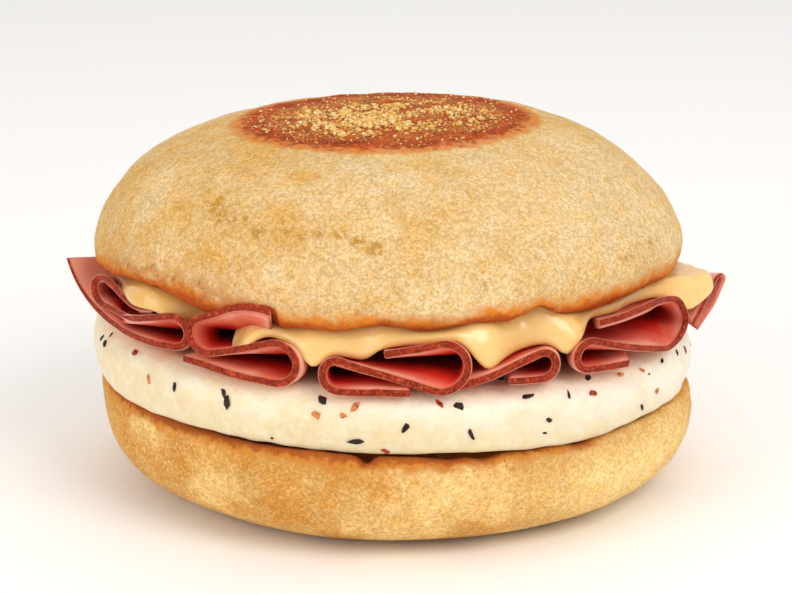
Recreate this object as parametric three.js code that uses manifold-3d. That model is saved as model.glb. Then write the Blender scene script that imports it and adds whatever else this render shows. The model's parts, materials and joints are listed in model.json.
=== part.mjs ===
// Breakfast sandwich: a split muffin with an egg patty, six folded slices of ham and a melted
// slice of cheese between its two halves. Millimetres, +Z up, the front is -Y.
import * as THREE from 'three';
import { mergeVertices } from 'three/addons/utils/BufferGeometryUtils.js';
import Module from 'manifold-3d';

const wasm = await Module();
wasm.setup();

const DEG = Math.PI / 180;
const clamp = THREE.MathUtils.clamp;
const mix = THREE.MathUtils.lerp;

// ---------------------------------------------------------------- driving sizes

// Space kept between two pieces that rest on each other.
const CLEARANCE = 0.3;

// The cut through the muffin slopes down to the right, and the egg lies along it.
const CUT_SLOPE = -0.028;

// Lower muffin half: [radius, height] up its side, and its middle at the foot and at the cut.
const HEEL_HEIGHT = 17.0;
const HEEL_SIDE = [[36.0, 0], [41.0, 1.6], [45.9, 4.6], [48.5, 8.8], [49.2, 12.8], [48.7, 15.6]];
const HEEL_CENTRE_FOOT = 0.7;
const HEEL_CENTRE_CUT = -0.3;

// Egg patty: [radius, height above its underside] round its side.
const EGG_BOTTOM = 17.4;
const EGG_THICKNESS = 9.9;
const EGG_SIDE = [[45.8, 0], [48.3, 1.0], [49.3, 3.4], [49.3, 6.0], [48.3, 8.2], [45.8, 9.6]];
const EGG_CENTRE = -0.5;

// Folded ham.
const HAM_THICKNESS = 1.7;
const HAM_RIM_RADIUS = 49.3;
const HAM_ROUND_REACH = 42;
const HAM_FLAP_REACH = 53.4;
const HAM_FLAP_HALF_WIDTH = 7.5;
const HAM_FLAP_SLANT = 1.55;
// Radius of the turn between two layers where a slice lies flat inside the sandwich.
const HAM_FLAT_TURN = 0.95;
// Depth behind the rim over which the open folds settle into the flat stack.
const HAM_SETTLE_DEPTH = 13.5;
// The folds at the back stand this much as open as the ones in front; the two flaps beyond
// the egg's edge lie low there.
const HAM_BACK_OPENING = 0.75;
const HAM_FLAP_START = 44;
// Places along the depth of a slice, as parts of that depth.
const HAM_STATIONS = [0, 0.035, 0.09, 0.18, 0.82, 0.91, 0.965, 1];

// Melted cheese.
const CHEESE_THICKNESS = 1.8;
const CHEESE_RIM_RADIUS = 46.0;
const CHEESE_SAG = 0.1;

// Upper muffin half: [radius, height] from the browned face down its side.
const TOP_CENTRE = -1.3;
const TOP_HEIGHT = 60.2;
const TOP_UNDERSIDE = 36.4;
const TOP_FACE_RADIUS = 24.6;
const TOP_LEAN = 0.02;
const TOP_SIDE = [
  [TOP_FACE_RADIUS, 59.2], [29.5, 58.0], [34.7, 56.1], [38.9, 53.8], [42.0, 51.3], [44.5, 48.3],
  [46.7, 44.9], [48.1, 41.0], [47.9, 38.5], [46.3, TOP_UNDERSIDE],
];

// ---------------------------------------------------------------- helpers

/** Height of the egg's top, which carries the ham. */
const eggTopAt = (x) => EGG_BOTTOM + EGG_THICKNESS + CUT_SLOPE * x;

/** Soft bump of height 1 at its centre that fades out over its width. */
const bump = (value, centre, width) => Math.exp(-(((value - centre) / width) ** 2));

/** Moves every vertex of a geometry through a function of its place. */
function reshape(geometry, move) {
  const position = geometry.getAttribute('position');
  const v = new THREE.Vector3();
  for (let i = 0; i < position.count; i += 1) {
    v.fromBufferAttribute(position, i);
    move(v);
    position.setXYZ(i, v.x, v.y, v.z);
  }
  geometry.deleteAttribute('normal');
  geometry.deleteAttribute('uv');
  return mergeVertices(geometry, 1e-4);
}

/** Turns a half outline of [radius, height] pairs into an upright body of revolution. */
function turned(outline, segments) {
  const points = outline.map(([r, z]) => new THREE.Vector2(r, z));
  return new THREE.LatheGeometry(points, segments).rotateX(Math.PI / 2);
}

/** The closed geometry as a solid for cutting. */
function solidOf(geometry) {
  return new wasm.Manifold(new wasm.Mesh({
    numProp: 3,
    vertProperties: geometry.getAttribute('position').array,
    triVerts: new Uint32Array(geometry.index.array),
  }));
}

/** The solid as a geometry again. */
function geometryOf(solid) {
  const mesh = solid.getMesh();
  const geometry = new THREE.BufferGeometry();
  geometry.setAttribute('position', new THREE.BufferAttribute(mesh.vertProperties, 3));
  geometry.setIndex(new THREE.BufferAttribute(mesh.triVerts, 1));
  return geometry;
}

// ---------------------------------------------------------------- ham

/*
 * A slice of ham is a ribbon of folds that runs through the sandwich from front to back. Its
 * middle line at the rim is a belt over turns: circles with centre x, z and radius r, passed
 * anticlockwise (way 1) or clockwise (way -1), joined by straight runs. A turn of radius 0 is an
 * end of the slice. Inside the sandwich the same belt lies flat in layers on the egg: "layer"
 * is the layer of an end or of a gentle bend, or the half step between two layers for a full
 * turn. There a full turn keeps its outermost place, or stands out further by its "reach",
 * unless "inner" gives the x of its middle. A "tuck" sets the rim back at a turn.
 */
const SLICES = {
  // Curled flap at the far left, a fold tucked behind ham_2 and a fold back under the cheese.
  ham_1: [
    { x: -43.3, z: 41.0, r: 10.8, way: 1, from: 198, layer: 0, bend: -1, fromInside: 213 },
    { x: -38.6, z: 23.2, r: 8.6, way: -1, layer: 0, bend: 1 },
    { x: -33.9, z: 33.9, r: 2.3, way: 1, layer: 0.5, tuck: 2.0 },
    { x: -46.4, z: 34.8, r: 2.1, way: -1, layer: 1.5, inner: -45.0 },
    { x: -38.6, z: 36.5, r: 0, way: 1, layer: 2 },
  ],
  // Lower fold open to the right; the top layer stands outside the muffin's edge.
  ham_2: [
    { x: -32.4, z: 29.5, r: 0, way: 1, layer: 0, inner: -28.8 },
    { x: -18.1, z: 31.4, r: 3.2, way: 1, layer: 0.5, reach: 2.2 },
    { x: -28.7, z: 34.1, r: 2.7, way: -1, layer: 1.5, inner: -26.6 },
    { x: -21.2, z: 30.5, r: 9.3, way: -1, to: 73, layer: 2, bend: 1 },
  ],
  // Two round folds facing each other.
  ham_3: [
    { x: 2.0, z: 27.4, r: 0, way: 1, layer: 0 },
    { x: -8.6, z: 30.2, r: 2.45, way: -1, layer: 0.5, reach: -0.5 },
    { x: 7.0, z: 31.6, r: 3.6, way: 1, layer: 1.5 },
    { x: -1.8, z: 33.9, r: 0, way: 1, layer: 2 },
  ],
  // A single fold that opens to the left.
  ham_4: [
    { x: 11.3, z: 28.1, r: 0, way: 1, layer: 0.4 },
    { x: 22.3, z: 30.6, r: 2.25, way: -1, layer: 0.5, loose: 1.7, reach: 0.2 },
    { x: 16.8, z: 28.6, r: 0, way: 1, layer: 0 },
  ],
  // A wide fold open to the left above a small one.
  ham_5: [
    { x: 30.6, z: 36.9, r: 0, way: 1, layer: 2 },
    { x: 36.3, z: 29.6, r: 8.5, way: -1, layer: 2, bend: 1 },
    { x: 43.6, z: 30.4, r: 3.1, way: -1, layer: 1.5, inner: 41.8 },
    { x: 29.5, z: 30.9, r: 2.2, way: 1, layer: 0.5, reach: 0.5 },
    { x: 38.2, z: 27.7, r: 0, way: 1, layer: 0 },
  ],
  // Narrow flap at the far right, folded double like a leaf.
  ham_6: [
    { x: 47.9, z: 29.4, r: 0, way: 1, layer: 1, inner: 45.6 },
    { x: 52.8, z: 34.6, r: 1.25, way: -1, layer: 1.9, inner: 50.4 },
    { x: 49.1, z: 28.0, r: 0, way: 1, layer: 0, inner: 46.8 },
  ],
};

/** Height of the middle of a flat layer above a place on the egg. */
const layerHeight = (x, layer) =>
  eggTopAt(x) + CLEARANCE + HAM_THICKNESS / 2 + layer * 2 * HAM_FLAT_TURN;

/** Front edge of the ham in plan: round, with straight slants out to the two flaps. */
function hamFront(x) {
  const reach = Math.abs(x);
  const round = Math.sqrt(Math.max(HAM_RIM_RADIUS ** 2 - reach ** 2, 0));
  const slant = HAM_FLAP_HALF_WIDTH + (HAM_FLAP_REACH - reach) * HAM_FLAP_SLANT;
  return reach < HAM_ROUND_REACH ? -round : -Math.max(round, slant, 5);
}

/** A turn as it lies inside the sandwich. */
function laidFlat(turn, i, turns) {
  const tight = turn.r > 0 && !turn.bend;
  const r = tight ? (turn.loose ?? HAM_FLAT_TURN) : turn.r;
  const outward = i > 0 && turn.x < turns[i - 1].x ? -1 : 1;
  const shift = tight ? outward * (turn.r - r + (turn.reach ?? 0)) : 0;
  const x = turn.inner ?? turn.x + shift;
  const layer = turn.loose ? turn.loose / HAM_FLAT_TURN / 2 : turn.layer;
  const z = layerHeight(x, layer) - (turn.bend ?? 0) * turn.r;
  return { ...turn, x, z, r, from: turn.fromInside ?? turn.from };
}

/** Heading of the straight run between two turns. */
function heading(a, b) {
  const dx = b.x - a.x;
  const dz = b.z - a.z;
  const offset = b.r * b.way - a.r * a.way;
  return Math.atan2(dz, dx) - Math.asin(clamp(offset / Math.hypot(dx, dz), -1, 1));
}

/** Angle on a circle from one place to another in the way the belt runs. */
function sweep(from, to, way) {
  const full = 2 * Math.PI;
  const angle = ((((to - from) * way) % full) + full) % full;
  return (angle > full - 0.6 ? angle - full : angle) * way;
}

/** Places [x, z] along a belt; the counts give the pieces of each arc and each run. */
function beltPlaces(turns, counts) {
  const runs = turns.slice(1).map((turn, i) => heading(turns[i], turn));
  const at = (turn, run) => run - turn.way * Math.PI / 2;
  const places = [];
  turns.forEach((turn, i) => {
    const arrive = i > 0 ? at(turn, runs[i - 1]) : (turn.from ?? 0) * DEG;
    const leave = i < runs.length ? at(turn, runs[i]) : (turn.to ?? 0) * DEG;
    const angle = turn.r > 0 ? sweep(arrive, leave, turn.way) : 0;
    if (i > 0) {
      const last = places[places.length - 1];
      const x = turn.x + turn.r * Math.cos(arrive);
      const z = turn.z + turn.r * Math.sin(arrive);
      for (let k = 1; k < counts.runs[i - 1]; k += 1) {
        const part = k / counts.runs[i - 1];
        places.push([mix(last[0], x, part), mix(last[1], z, part)]);
      }
    }
    const steps = counts.arcs[i];
    for (let k = 0; k <= steps; k += 1) {
      const turnedTo = arrive + (steps > 0 ? angle * k / steps : 0);
      places.push([turn.x + turn.r * Math.cos(turnedTo), turn.z + turn.r * Math.sin(turnedTo)]);
    }
  });
  return places;
}

/** How finely a belt is divided: an arc piece for every 34 degrees, a run piece for every 4 mm. */
function beltCounts(turns) {
  const runs = turns.slice(1).map((turn, i) => heading(turns[i], turn));
  const arcs = turns.map((turn, i) => {
    if (turn.r === 0) return 0;
    const arrive = i > 0 ? runs[i - 1] : turn.from * DEG + turn.way * Math.PI / 2;
    const leave = i < runs.length ? runs[i] : turn.to * DEG + turn.way * Math.PI / 2;
    return Math.max(1, Math.round(Math.abs(sweep(arrive, leave, turn.way)) / (34 * DEG)));
  });
  const pieces = turns.slice(1).map((turn, i) => {
    const length = Math.hypot(turn.x - turns[i].x, turn.z - turns[i].z);
    return Math.max(1, Math.round(length / 4));
  });
  return { arcs, runs: pieces };
}

/** The middle surface of a slice: columns of places, one column for each place along its belt. */
function hamColumns(turns) {
  const counts = beltCounts(turns);
  const rim = beltPlaces(turns, counts);
  const flat = beltPlaces(turns.map(laidFlat), counts);
  return rim.map(([xRim, zRim], i) => {
    const [xFlat, zFlat] = flat[i];
    const outside = clamp((Math.abs(xRim) - HAM_FLAP_START) / 4, 0, 1);
    const opening = HAM_BACK_OPENING * (1 - outside);
    const xBack = mix(xFlat, xRim, opening);
    const zBack = mix(zFlat, zRim, opening);
    const tucks = turns.map((turn) => (turn.tuck ?? 0) * bump(xRim, turn.x + turn.r, 3.5));
    const tuck = Math.max(...tucks);
    const front = hamFront(xRim) + tuck;
    const back = -hamFront(xBack) - tuck;
    return { xRim, zRim, xFlat, zFlat, xBack, zBack, front, back };
  });
}

/** Place of a column at a part of its depth. */
function columnPlace(column, part) {
  const depth = part * (column.back - column.front);
  const rest = column.back - column.front - depth;
  const open = (d, power) => Math.max(1 - d / HAM_SETTLE_DEPTH, 0) ** power;
  return {
    x: column.xFlat + (column.xRim - column.xFlat) * open(depth, 4)
      + (column.xBack - column.xFlat) * open(rest, 4),
    y: column.front + depth,
    z: column.zFlat + (column.zRim - column.zFlat) * open(depth, 2.4)
      + (column.zBack - column.zFlat) * open(rest, 2.4),
  };
}

/** Solid of a slice: a flat box bent along the belt, with room added all round if asked. */
function hamGeometry(columns, room) {
  const last = columns.length - 1;
  const stations = HAM_STATIONS.length - 1;
  const half = HAM_THICKNESS / 2 + room;
  const box = new THREE.BoxGeometry(1, 1, 1, last, 1, stations).translate(0.5, 0.5, 0.5);
  return reshape(box, (v) => {
    const i = Math.round(v.x * last);
    const part = HAM_STATIONS[Math.round(v.z * stations)];
    const here = columnPlace(columns[i], part);
    const before = columnPlace(columns[Math.max(i - 1, 0)], part);
    const after = columnPlace(columns[Math.min(i + 1, last)], part);
    const run = new THREE.Vector2(after.x - before.x, after.z - before.z).normalize();
    const side = (v.y - 0.5) * 2 * half;
    const end = (i === 0 ? -room : 0) + (i === last ? room : 0);
    const rim = (part === 0 ? -room : 0) + (part === 1 ? room : 0);
    v.set(
      here.x + run.y * side + run.x * end,
      here.y + rim,
      here.z - run.x * side + run.y * end,
    );
  });
}

const slices = Object.fromEntries(
  Object.entries(SLICES).map(([name, turns]) => [name, hamColumns(turns)]),
);

// ---------------------------------------------------------------- cheese

/** Highest ham under a place, or nothing where no slice lies there. */
function hamHeight(x, y) {
  let top = -Infinity;
  Object.values(slices).forEach((columns) => {
    let before = null;
    columns.forEach((column) => {
      const part = (y - column.front) / (column.back - column.front);
      const here = part < 0 || part > 1 ? null : columnPlace(column, part);
      if (here && before) {
        const reach = Math.abs(here.x - before.x);
        const low = Math.min(here.x, before.x) - HAM_THICKNESS / 2;
        const high = Math.max(here.x, before.x) + HAM_THICKNESS / 2;
        if (x > low && x < high) {
          const along = clamp((x - before.x) / (here.x - before.x || 1), 0, 1);
          const slope = Math.min(Math.abs(here.z - before.z) / Math.max(reach, 0.2), 1.5);
          const z = mix(before.z, here.z, reach > 0.2 ? along : 1);
          top = Math.max(top, z + HAM_THICKNESS / 2 * Math.hypot(1, slope));
        }
      }
      before = here;
    });
  });
  return top;
}

/** Underside of the cheese: it drapes over the ham and sags between the folds. */
function cheeseUnderside(x, y) {
  let height = eggTopAt(x) + 3;
  for (let dx = -7; dx <= 7; dx += 0.5) {
    height = Math.max(height, hamHeight(x + dx, y) - CHEESE_SAG * dx * dx);
  }
  return height + CLEARANCE;
}

/**
 * Rim of the cheese in plan: held back where a slice of ham stands up to the muffin, running
 * out in tongues between the folds, and with one corner hanging out at the far right.
 */
function cheeseRim(angle) {
  const x = Math.cos(angle) * CHEESE_RIM_RADIUS;
  const held = 4.5 * bump(x, -24, 6.5) + 1.8 * bump(x, 4, 6) + 4.0 * bump(x, 36.5, 6);
  const tongues = 1.4 * bump(x, -37, 4) + 2.6 * bump(x, -13, 3.5) + 2.8 * bump(x, 14.5, 4.5)
    + 2.4 * bump(x, 26, 2.5);
  const corner = 5.6 * bump(angle, -5 * DEG, 14 * DEG);
  return CHEESE_RIM_RADIUS + (tongues - held) * (Math.sin(angle) < 0 ? 1 : 0.7) + corner;
}

/** Solid of the cheese: a thin disc laid over the ham, with room added all round if asked. */
function cheeseGeometry(room) {
  const rings = [0, 0.55, 0.84, 0.94, 1];
  const outline = [
    ...rings.map((r) => [r, 0]),
    ...rings.map((r) => [r, 1]).reverse(),
  ];
  const heights = new Map();
  return reshape(turned(outline, 80), (v) => {
    const ring = Math.hypot(v.x, v.y);
    const angle = Math.atan2(v.y, v.x);
    const x = cheeseRim(angle) * ring * Math.cos(angle);
    const y = cheeseRim(angle) * ring * Math.sin(angle);
    const out = ring > 0.99 ? room : 0;
    const key = `${ring.toFixed(3)} ${(ring > 0 ? angle : 0).toFixed(3)}`;
    if (!heights.has(key)) heights.set(key, cheeseUnderside(x, y));
    const under = heights.get(key);
    const thick = CHEESE_THICKNESS * (ring > 0.99 ? 0.7 : 1);
    const z = v.z > 0.5 ? under + thick + room : under - room;
    v.set(x + out * Math.cos(angle), y + out * Math.sin(angle), z);
  });
}

// ---------------------------------------------------------------- muffin and egg

/** Lower muffin half: fuller towards its foot on the right, cut along the slope. */
function heelGeometry() {
  const outline = [
    [0, 0], [24, 0], ...HEEL_SIDE, [45.8, HEEL_HEIGHT], [24, HEEL_HEIGHT], [0, HEEL_HEIGHT],
  ];
  return reshape(turned(outline, 44), (v) => {
    const height = v.z / HEEL_HEIGHT;
    const angle = Math.atan2(v.y, v.x);
    const swell = 1 + 0.006 * Math.sin(3 * angle + 0.6) + 0.004 * Math.sin(7 * angle + 2);
    const radius = Math.hypot(v.x, v.y);
    const edge = bump(radius, 47, 3) * height ** 6;
    v.x = v.x * swell + mix(HEEL_CENTRE_FOOT, HEEL_CENTRE_CUT, height);
    v.y *= swell;
    v.z += CUT_SLOPE * v.x * height - edge * 0.5 * (1 + Math.sin(9 * angle + 1));
  });
}

/** Egg patty: a round cake with soft sides lying along the cut. */
function eggGeometry() {
  const outline = [
    [0, 0], [24, 0], ...EGG_SIDE, [42.5, EGG_THICKNESS], [24, EGG_THICKNESS], [0, EGG_THICKNESS],
  ];
  return reshape(turned(outline, 44), (v) => {
    const angle = Math.atan2(v.y, v.x);
    const radius = Math.hypot(v.x, v.y);
    const swell = 1 + 0.004 * Math.sin(5 * angle + 1) + 0.003 * Math.sin(11 * angle);
    v.x = v.x * swell + EGG_CENTRE;
    v.y *= swell;
    const low = bump(v.z, 0, 3) * bump(radius, 46, 4) * 0.25 * (1 + Math.sin(8 * angle));
    v.z += EGG_BOTTOM + CUT_SLOPE * v.x + low;
  });
}

/**
 * Upper muffin half: high sides, a flat browned face on top that leans a little to the left,
 * and a wavy lower edge.
 */
function topGeometry() {
  const outline = [
    [0, TOP_HEIGHT], [13, TOP_HEIGHT - 0.1], [21.5, TOP_HEIGHT - 0.5], ...TOP_SIDE,
    [43, TOP_UNDERSIDE - 0.2], [22, TOP_UNDERSIDE - 0.4], [0, TOP_UNDERSIDE - 0.4],
  ];
  return reshape(turned(outline.reverse(), 52), (v) => {
    const angle = Math.atan2(v.y, v.x);
    const radius = Math.hypot(v.x, v.y);
    const low = clamp((44 - v.z) / (44 - TOP_UNDERSIDE), 0, 1);
    const swell = 1 + 0.005 * Math.sin(2 * angle + 0.8) + 0.004 * Math.sin(5 * angle + 2.2);
    v.x = v.x * swell + TOP_CENTRE - 0.4 * clamp((v.z - 42) / 8, 0, 1);
    v.y *= swell;
    const front = v.y < 0 ? 1 : 0;
    const notch = 2.0 * bump(v.x, 20.6, 2.2) * front;
    const ripple = 0.35 * Math.sin(7 * angle + 0.5) + 0.25 * Math.sin(12 * angle + 1.4);
    const lean = clamp((v.z - 50) / 10, 0, 1) * TOP_LEAN * (v.x - 12);
    v.z += low ** 2 * bump(radius, 46.3, 4) * (notch + ripple) + lean;
  });
}

// ---------------------------------------------------------------- pieces

const rough = (color, roughness) => new THREE.MeshStandardMaterial({ color, roughness, metalness: 0 });

const group = new THREE.Group();
group.name = 'breakfast_sandwich';

/** Adds a piece under its name. */
function addPiece(name, geometry, material) {
  const mesh = new THREE.Mesh(geometry, material);
  mesh.name = name;
  mesh.geometry.computeVertexNormals();
  group.add(mesh);
}

addPiece('muffin_heel', heelGeometry(), rough(0xdca655, 0.85));
addPiece('egg', eggGeometry(), rough(0xf2e0bb, 0.45));
Object.entries(slices).forEach(([name, columns]) => {
  addPiece(name, hamGeometry(columns, 0), rough(0xb9503c, 0.5));
});

// The cheese has melted onto the ham and takes its shape.
const beds = Object.values(slices).map((columns) => solidOf(hamGeometry(columns, 0.6 * CLEARANCE)));
const cheese = beds.reduce((body, bed) => body.subtract(bed), solidOf(cheeseGeometry(0)));
addPiece('cheese', geometryOf(cheese), rough(0xf8d08a, 0.3));

// The upper half is pressed on the filling and takes its print.
const print = Object.values(slices).reduce(
  (sum, columns) => sum.add(solidOf(hamGeometry(columns, CLEARANCE))),
  solidOf(cheeseGeometry(CLEARANCE)),
);
addPiece('muffin_top', geometryOf(solidOf(topGeometry()).subtract(print)), rough(0xebc68c, 0.85));

export default group;
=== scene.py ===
"""Breakfast sandwich: an egg patty, six folded slices of ham and melted cheese in a split muffin.

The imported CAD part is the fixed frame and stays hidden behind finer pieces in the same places.
Shapes are worked out in millimetres in the frame's axes (+Z up, the front is -Y) and scaled to
metres when a piece is finished.
"""

import json
import logging
import math
import random
from collections.abc import Callable, Sequence
from dataclasses import dataclass, field
from enum import Enum

import bmesh
import bpy
import numpy as np
from mathutils import Matrix, Vector, noise
from mathutils.bvhtree import BVHTree

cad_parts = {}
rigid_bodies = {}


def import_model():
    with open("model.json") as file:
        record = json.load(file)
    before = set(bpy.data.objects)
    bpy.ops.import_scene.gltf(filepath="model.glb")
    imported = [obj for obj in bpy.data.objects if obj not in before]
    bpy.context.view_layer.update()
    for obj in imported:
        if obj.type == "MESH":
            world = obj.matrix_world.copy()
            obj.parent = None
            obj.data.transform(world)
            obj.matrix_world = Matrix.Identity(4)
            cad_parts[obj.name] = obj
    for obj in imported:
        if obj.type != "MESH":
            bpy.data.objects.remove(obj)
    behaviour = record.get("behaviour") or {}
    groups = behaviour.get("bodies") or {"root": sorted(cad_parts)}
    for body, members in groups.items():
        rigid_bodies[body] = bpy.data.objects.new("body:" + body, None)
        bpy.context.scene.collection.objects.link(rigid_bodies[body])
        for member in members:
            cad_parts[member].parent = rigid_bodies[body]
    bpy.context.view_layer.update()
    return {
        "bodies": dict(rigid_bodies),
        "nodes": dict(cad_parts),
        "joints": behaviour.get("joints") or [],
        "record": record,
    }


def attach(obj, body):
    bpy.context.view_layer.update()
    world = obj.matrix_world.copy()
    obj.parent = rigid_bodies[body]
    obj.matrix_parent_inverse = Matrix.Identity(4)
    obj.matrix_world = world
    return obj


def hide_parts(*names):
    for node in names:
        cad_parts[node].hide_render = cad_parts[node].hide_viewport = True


log = logging.getLogger("breakfast_sandwich")

Mesh = bmesh.types.BMesh
Socket = bpy.types.NodeSocket

MM = 0.001
BODY = "root"
IMAGE_WIDTH_PX = 792
IMAGE_HEIGHT_PX = 594

# The cut through the muffin slopes down to the right, and the egg lies along it.
CUT_SLOPE = -0.028
# Space kept between two pieces that rest on each other.
REST_GAP = 0.2
EGG_BOTTOM = 17.4
EGG_THICKNESS = 9.9


# ---- measures


def bump(value: float, centre: float, width: float) -> float:
    """Soft bump of height 1 at its centre that fades out over its width."""
    return math.exp(-(((value - centre) / width) ** 2))


def bumps(value: float, waves: Sequence[tuple[float, float, float]]) -> float:
    """Sum of soft bumps, each given by its centre, width and height."""
    return sum(height * bump(value, centre, width) for centre, width, height in waves)


def clamp(value: float, low: float = 0.0, high: float = 1.0) -> float:
    """The value kept between two limits."""
    return max(low, min(high, value))


def lumps(place: Vector, size: float, seed: float) -> float:
    """Smooth noise from -1 to 1 whose lumps are about one size across."""
    return noise.noise(place / size + Vector((seed, -1.7 * seed, 0.6 * seed)))


def uneven(place: Vector, seed: float, waves: Sequence[tuple[float, float]]) -> float:
    """Sum of lumps of several sizes, each given by its height and its size."""
    return sum(height * lumps(place, size, seed) for height, size in waves)


def smooth_line(points: Sequence[tuple[float, float]], spacing: float) -> list[tuple[float, float]]:
    """Rounds a rough outline into a smooth one through the same points.

    Args:
        points: Corners of the outline, such as radius and height.
        spacing: Longest step between two points of the result.

    Returns:
        Points along the smooth outline, its first and last corner included.
    """
    ends = [points[0], *points, points[-1]]
    line: list[tuple[float, float]] = []
    for before, start, stop, after in zip(ends, ends[1:], ends[2:], ends[3:]):
        length = math.dist(start, stop)
        steps = max(1, math.ceil(length / spacing))
        lead = length / max(math.dist(before, start) + length, 1e-6)
        tail = length / max(math.dist(stop, after) + length, 1e-6)
        for k in range(steps):
            t = k / steps
            place = []
            for a, b, c, d in zip(before, start, stop, after):
                leave, arrive = (c - a) * lead, (d - b) * tail
                place.append(
                    b * (2 * t**3 - 3 * t**2 + 1) + c * (3 * t**2 - 2 * t**3)
                    + leave * (t**3 - 2 * t**2 + t) + arrive * (t**3 - t**2)
                )
            line.append((place[0], place[1]))
    line.append(tuple(points[-1]))
    return line


# ---- mesh work


def turned(outline: Sequence[tuple[float, float]], steps: int) -> Mesh:
    """Turns a half outline round the upright axis into a closed body.

    Args:
        outline: Radius and height, from the axis round to the axis again.
        steps: Faces round the axis.

    Returns:
        The body, its faces pointing outwards.
    """
    bm = bmesh.new()
    rows = len(outline) - 1
    bmesh.ops.create_grid(bm, x_segments=steps, y_segments=rows, size=0.5)
    for vert in bm.verts:
        angle = (vert.co.x + 0.5) * math.tau
        radius, height = outline[round((vert.co.y + 0.5) * rows)]
        vert.co = (radius * math.cos(angle), radius * math.sin(angle), height)
    bmesh.ops.remove_doubles(bm, verts=bm.verts, dist=1e-4)
    bmesh.ops.recalc_face_normals(bm, faces=bm.faces)
    return bm


def block(cuts: Sequence[int]) -> Mesh:
    """A unit block from 0 to 1 along each axis, divided evenly.

    Args:
        cuts: Number of pieces along x, y and z.

    Returns:
        The block as a closed shell of quads.
    """
    bm = bmesh.new()
    bmesh.ops.create_cube(bm, size=1.0, matrix=Matrix.Translation((0.5, 0.5, 0.5)))
    for axis, count in enumerate(cuts):
        if count < 2:
            continue
        along = [e for e in bm.edges if abs(e.verts[0].co[axis] - e.verts[1].co[axis]) > 0.5]
        bmesh.ops.subdivide_edges(bm, edges=along, cuts=count - 1, use_grid_fill=True)
    return bm


def reshape(bm: Mesh, move: Callable[[Vector], Vector]) -> None:
    """Moves every vertex through a function of its place."""
    for vert in bm.verts:
        vert.co = move(vert.co.copy())


@dataclass(frozen=True)
class Spot:
    """Where a vertex of a turned body is: radius, height and angle round from the front."""

    radius: float
    height: float
    angle: float

    @property
    def degrees(self) -> float:
        """The angle in degrees, positive to the right."""
        return math.degrees(self.angle)


def spots_of(bm: Mesh) -> list[Spot]:
    """The place of every vertex of a turned body, in the order of the vertices."""
    bm.verts.index_update()
    return [Spot(math.hypot(v.co.x, v.co.y), v.co.z, math.atan2(v.co.x, -v.co.y)) for v in bm.verts]


def paint(
    bm: Mesh, spots: Sequence[Spot], name: str, amount: Callable[[Spot], float]
) -> None:
    """Keeps a number on every vertex for the finish to read by this name.

    Args:
        bm: The turned body.
        spots: Where its vertices are.
        name: The number's name.
        amount: The number at a place.
    """
    layer = bm.verts.layers.float.new(name)
    for vert, spot in zip(bm.verts, spots):
        vert[layer] = amount(spot)


def finish_piece(
    bm: Mesh,
    name: str,
    materials: Sequence[bpy.types.Material],
    slot: str,
    stands_for: Sequence[str] = (),
    faceted: bool = False,
) -> bpy.types.Object:
    """Makes a shaped mesh a piece of the sandwich.

    Args:
        bm: The mesh in millimetres; it is freed.
        name: Name of the piece.
        materials: Finishes in the order of the faces' material indexes.
        slot: The record's material slot.
        stands_for: CAD nodes that the piece replaces.
        faceted: Whether its faces stay flat and angular.

    Returns:
        The piece, riding on the sandwich's one body.
    """
    bmesh.ops.scale(bm, vec=(MM, MM, MM), verts=bm.verts)
    for face in bm.faces:
        face.smooth = not faceted
    mesh = bpy.data.meshes.new(name)
    bm.to_mesh(mesh)
    bm.free()
    for material in materials:
        mesh.materials.append(material)
    piece = bpy.data.objects.new(name, mesh)
    bpy.context.scene.collection.objects.link(piece)
    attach(piece, BODY)
    if stands_for:
        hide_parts(*stands_for)
    log.info("%s: %d faces, slot %s", name, len(mesh.polygons), slot)
    return piece


# ---- shader building


@dataclass(frozen=True)
class Tint:
    """A colour as a screen shows it, 0 to 255."""

    red: int
    green: int
    blue: int

    def linear(self) -> tuple[float, float, float, float]:
        """The colour in the renderer's own linear values.

        Returns:
            Red, green, blue and 1.
        """
        parts = [c / 255 for c in (self.red, self.green, self.blue)]
        straight_below = 0.04045
        made = [c / 12.92 if c <= straight_below else ((c + 0.055) / 1.055) ** 2.4 for c in parts]
        return (*made, 1.0)


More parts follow.
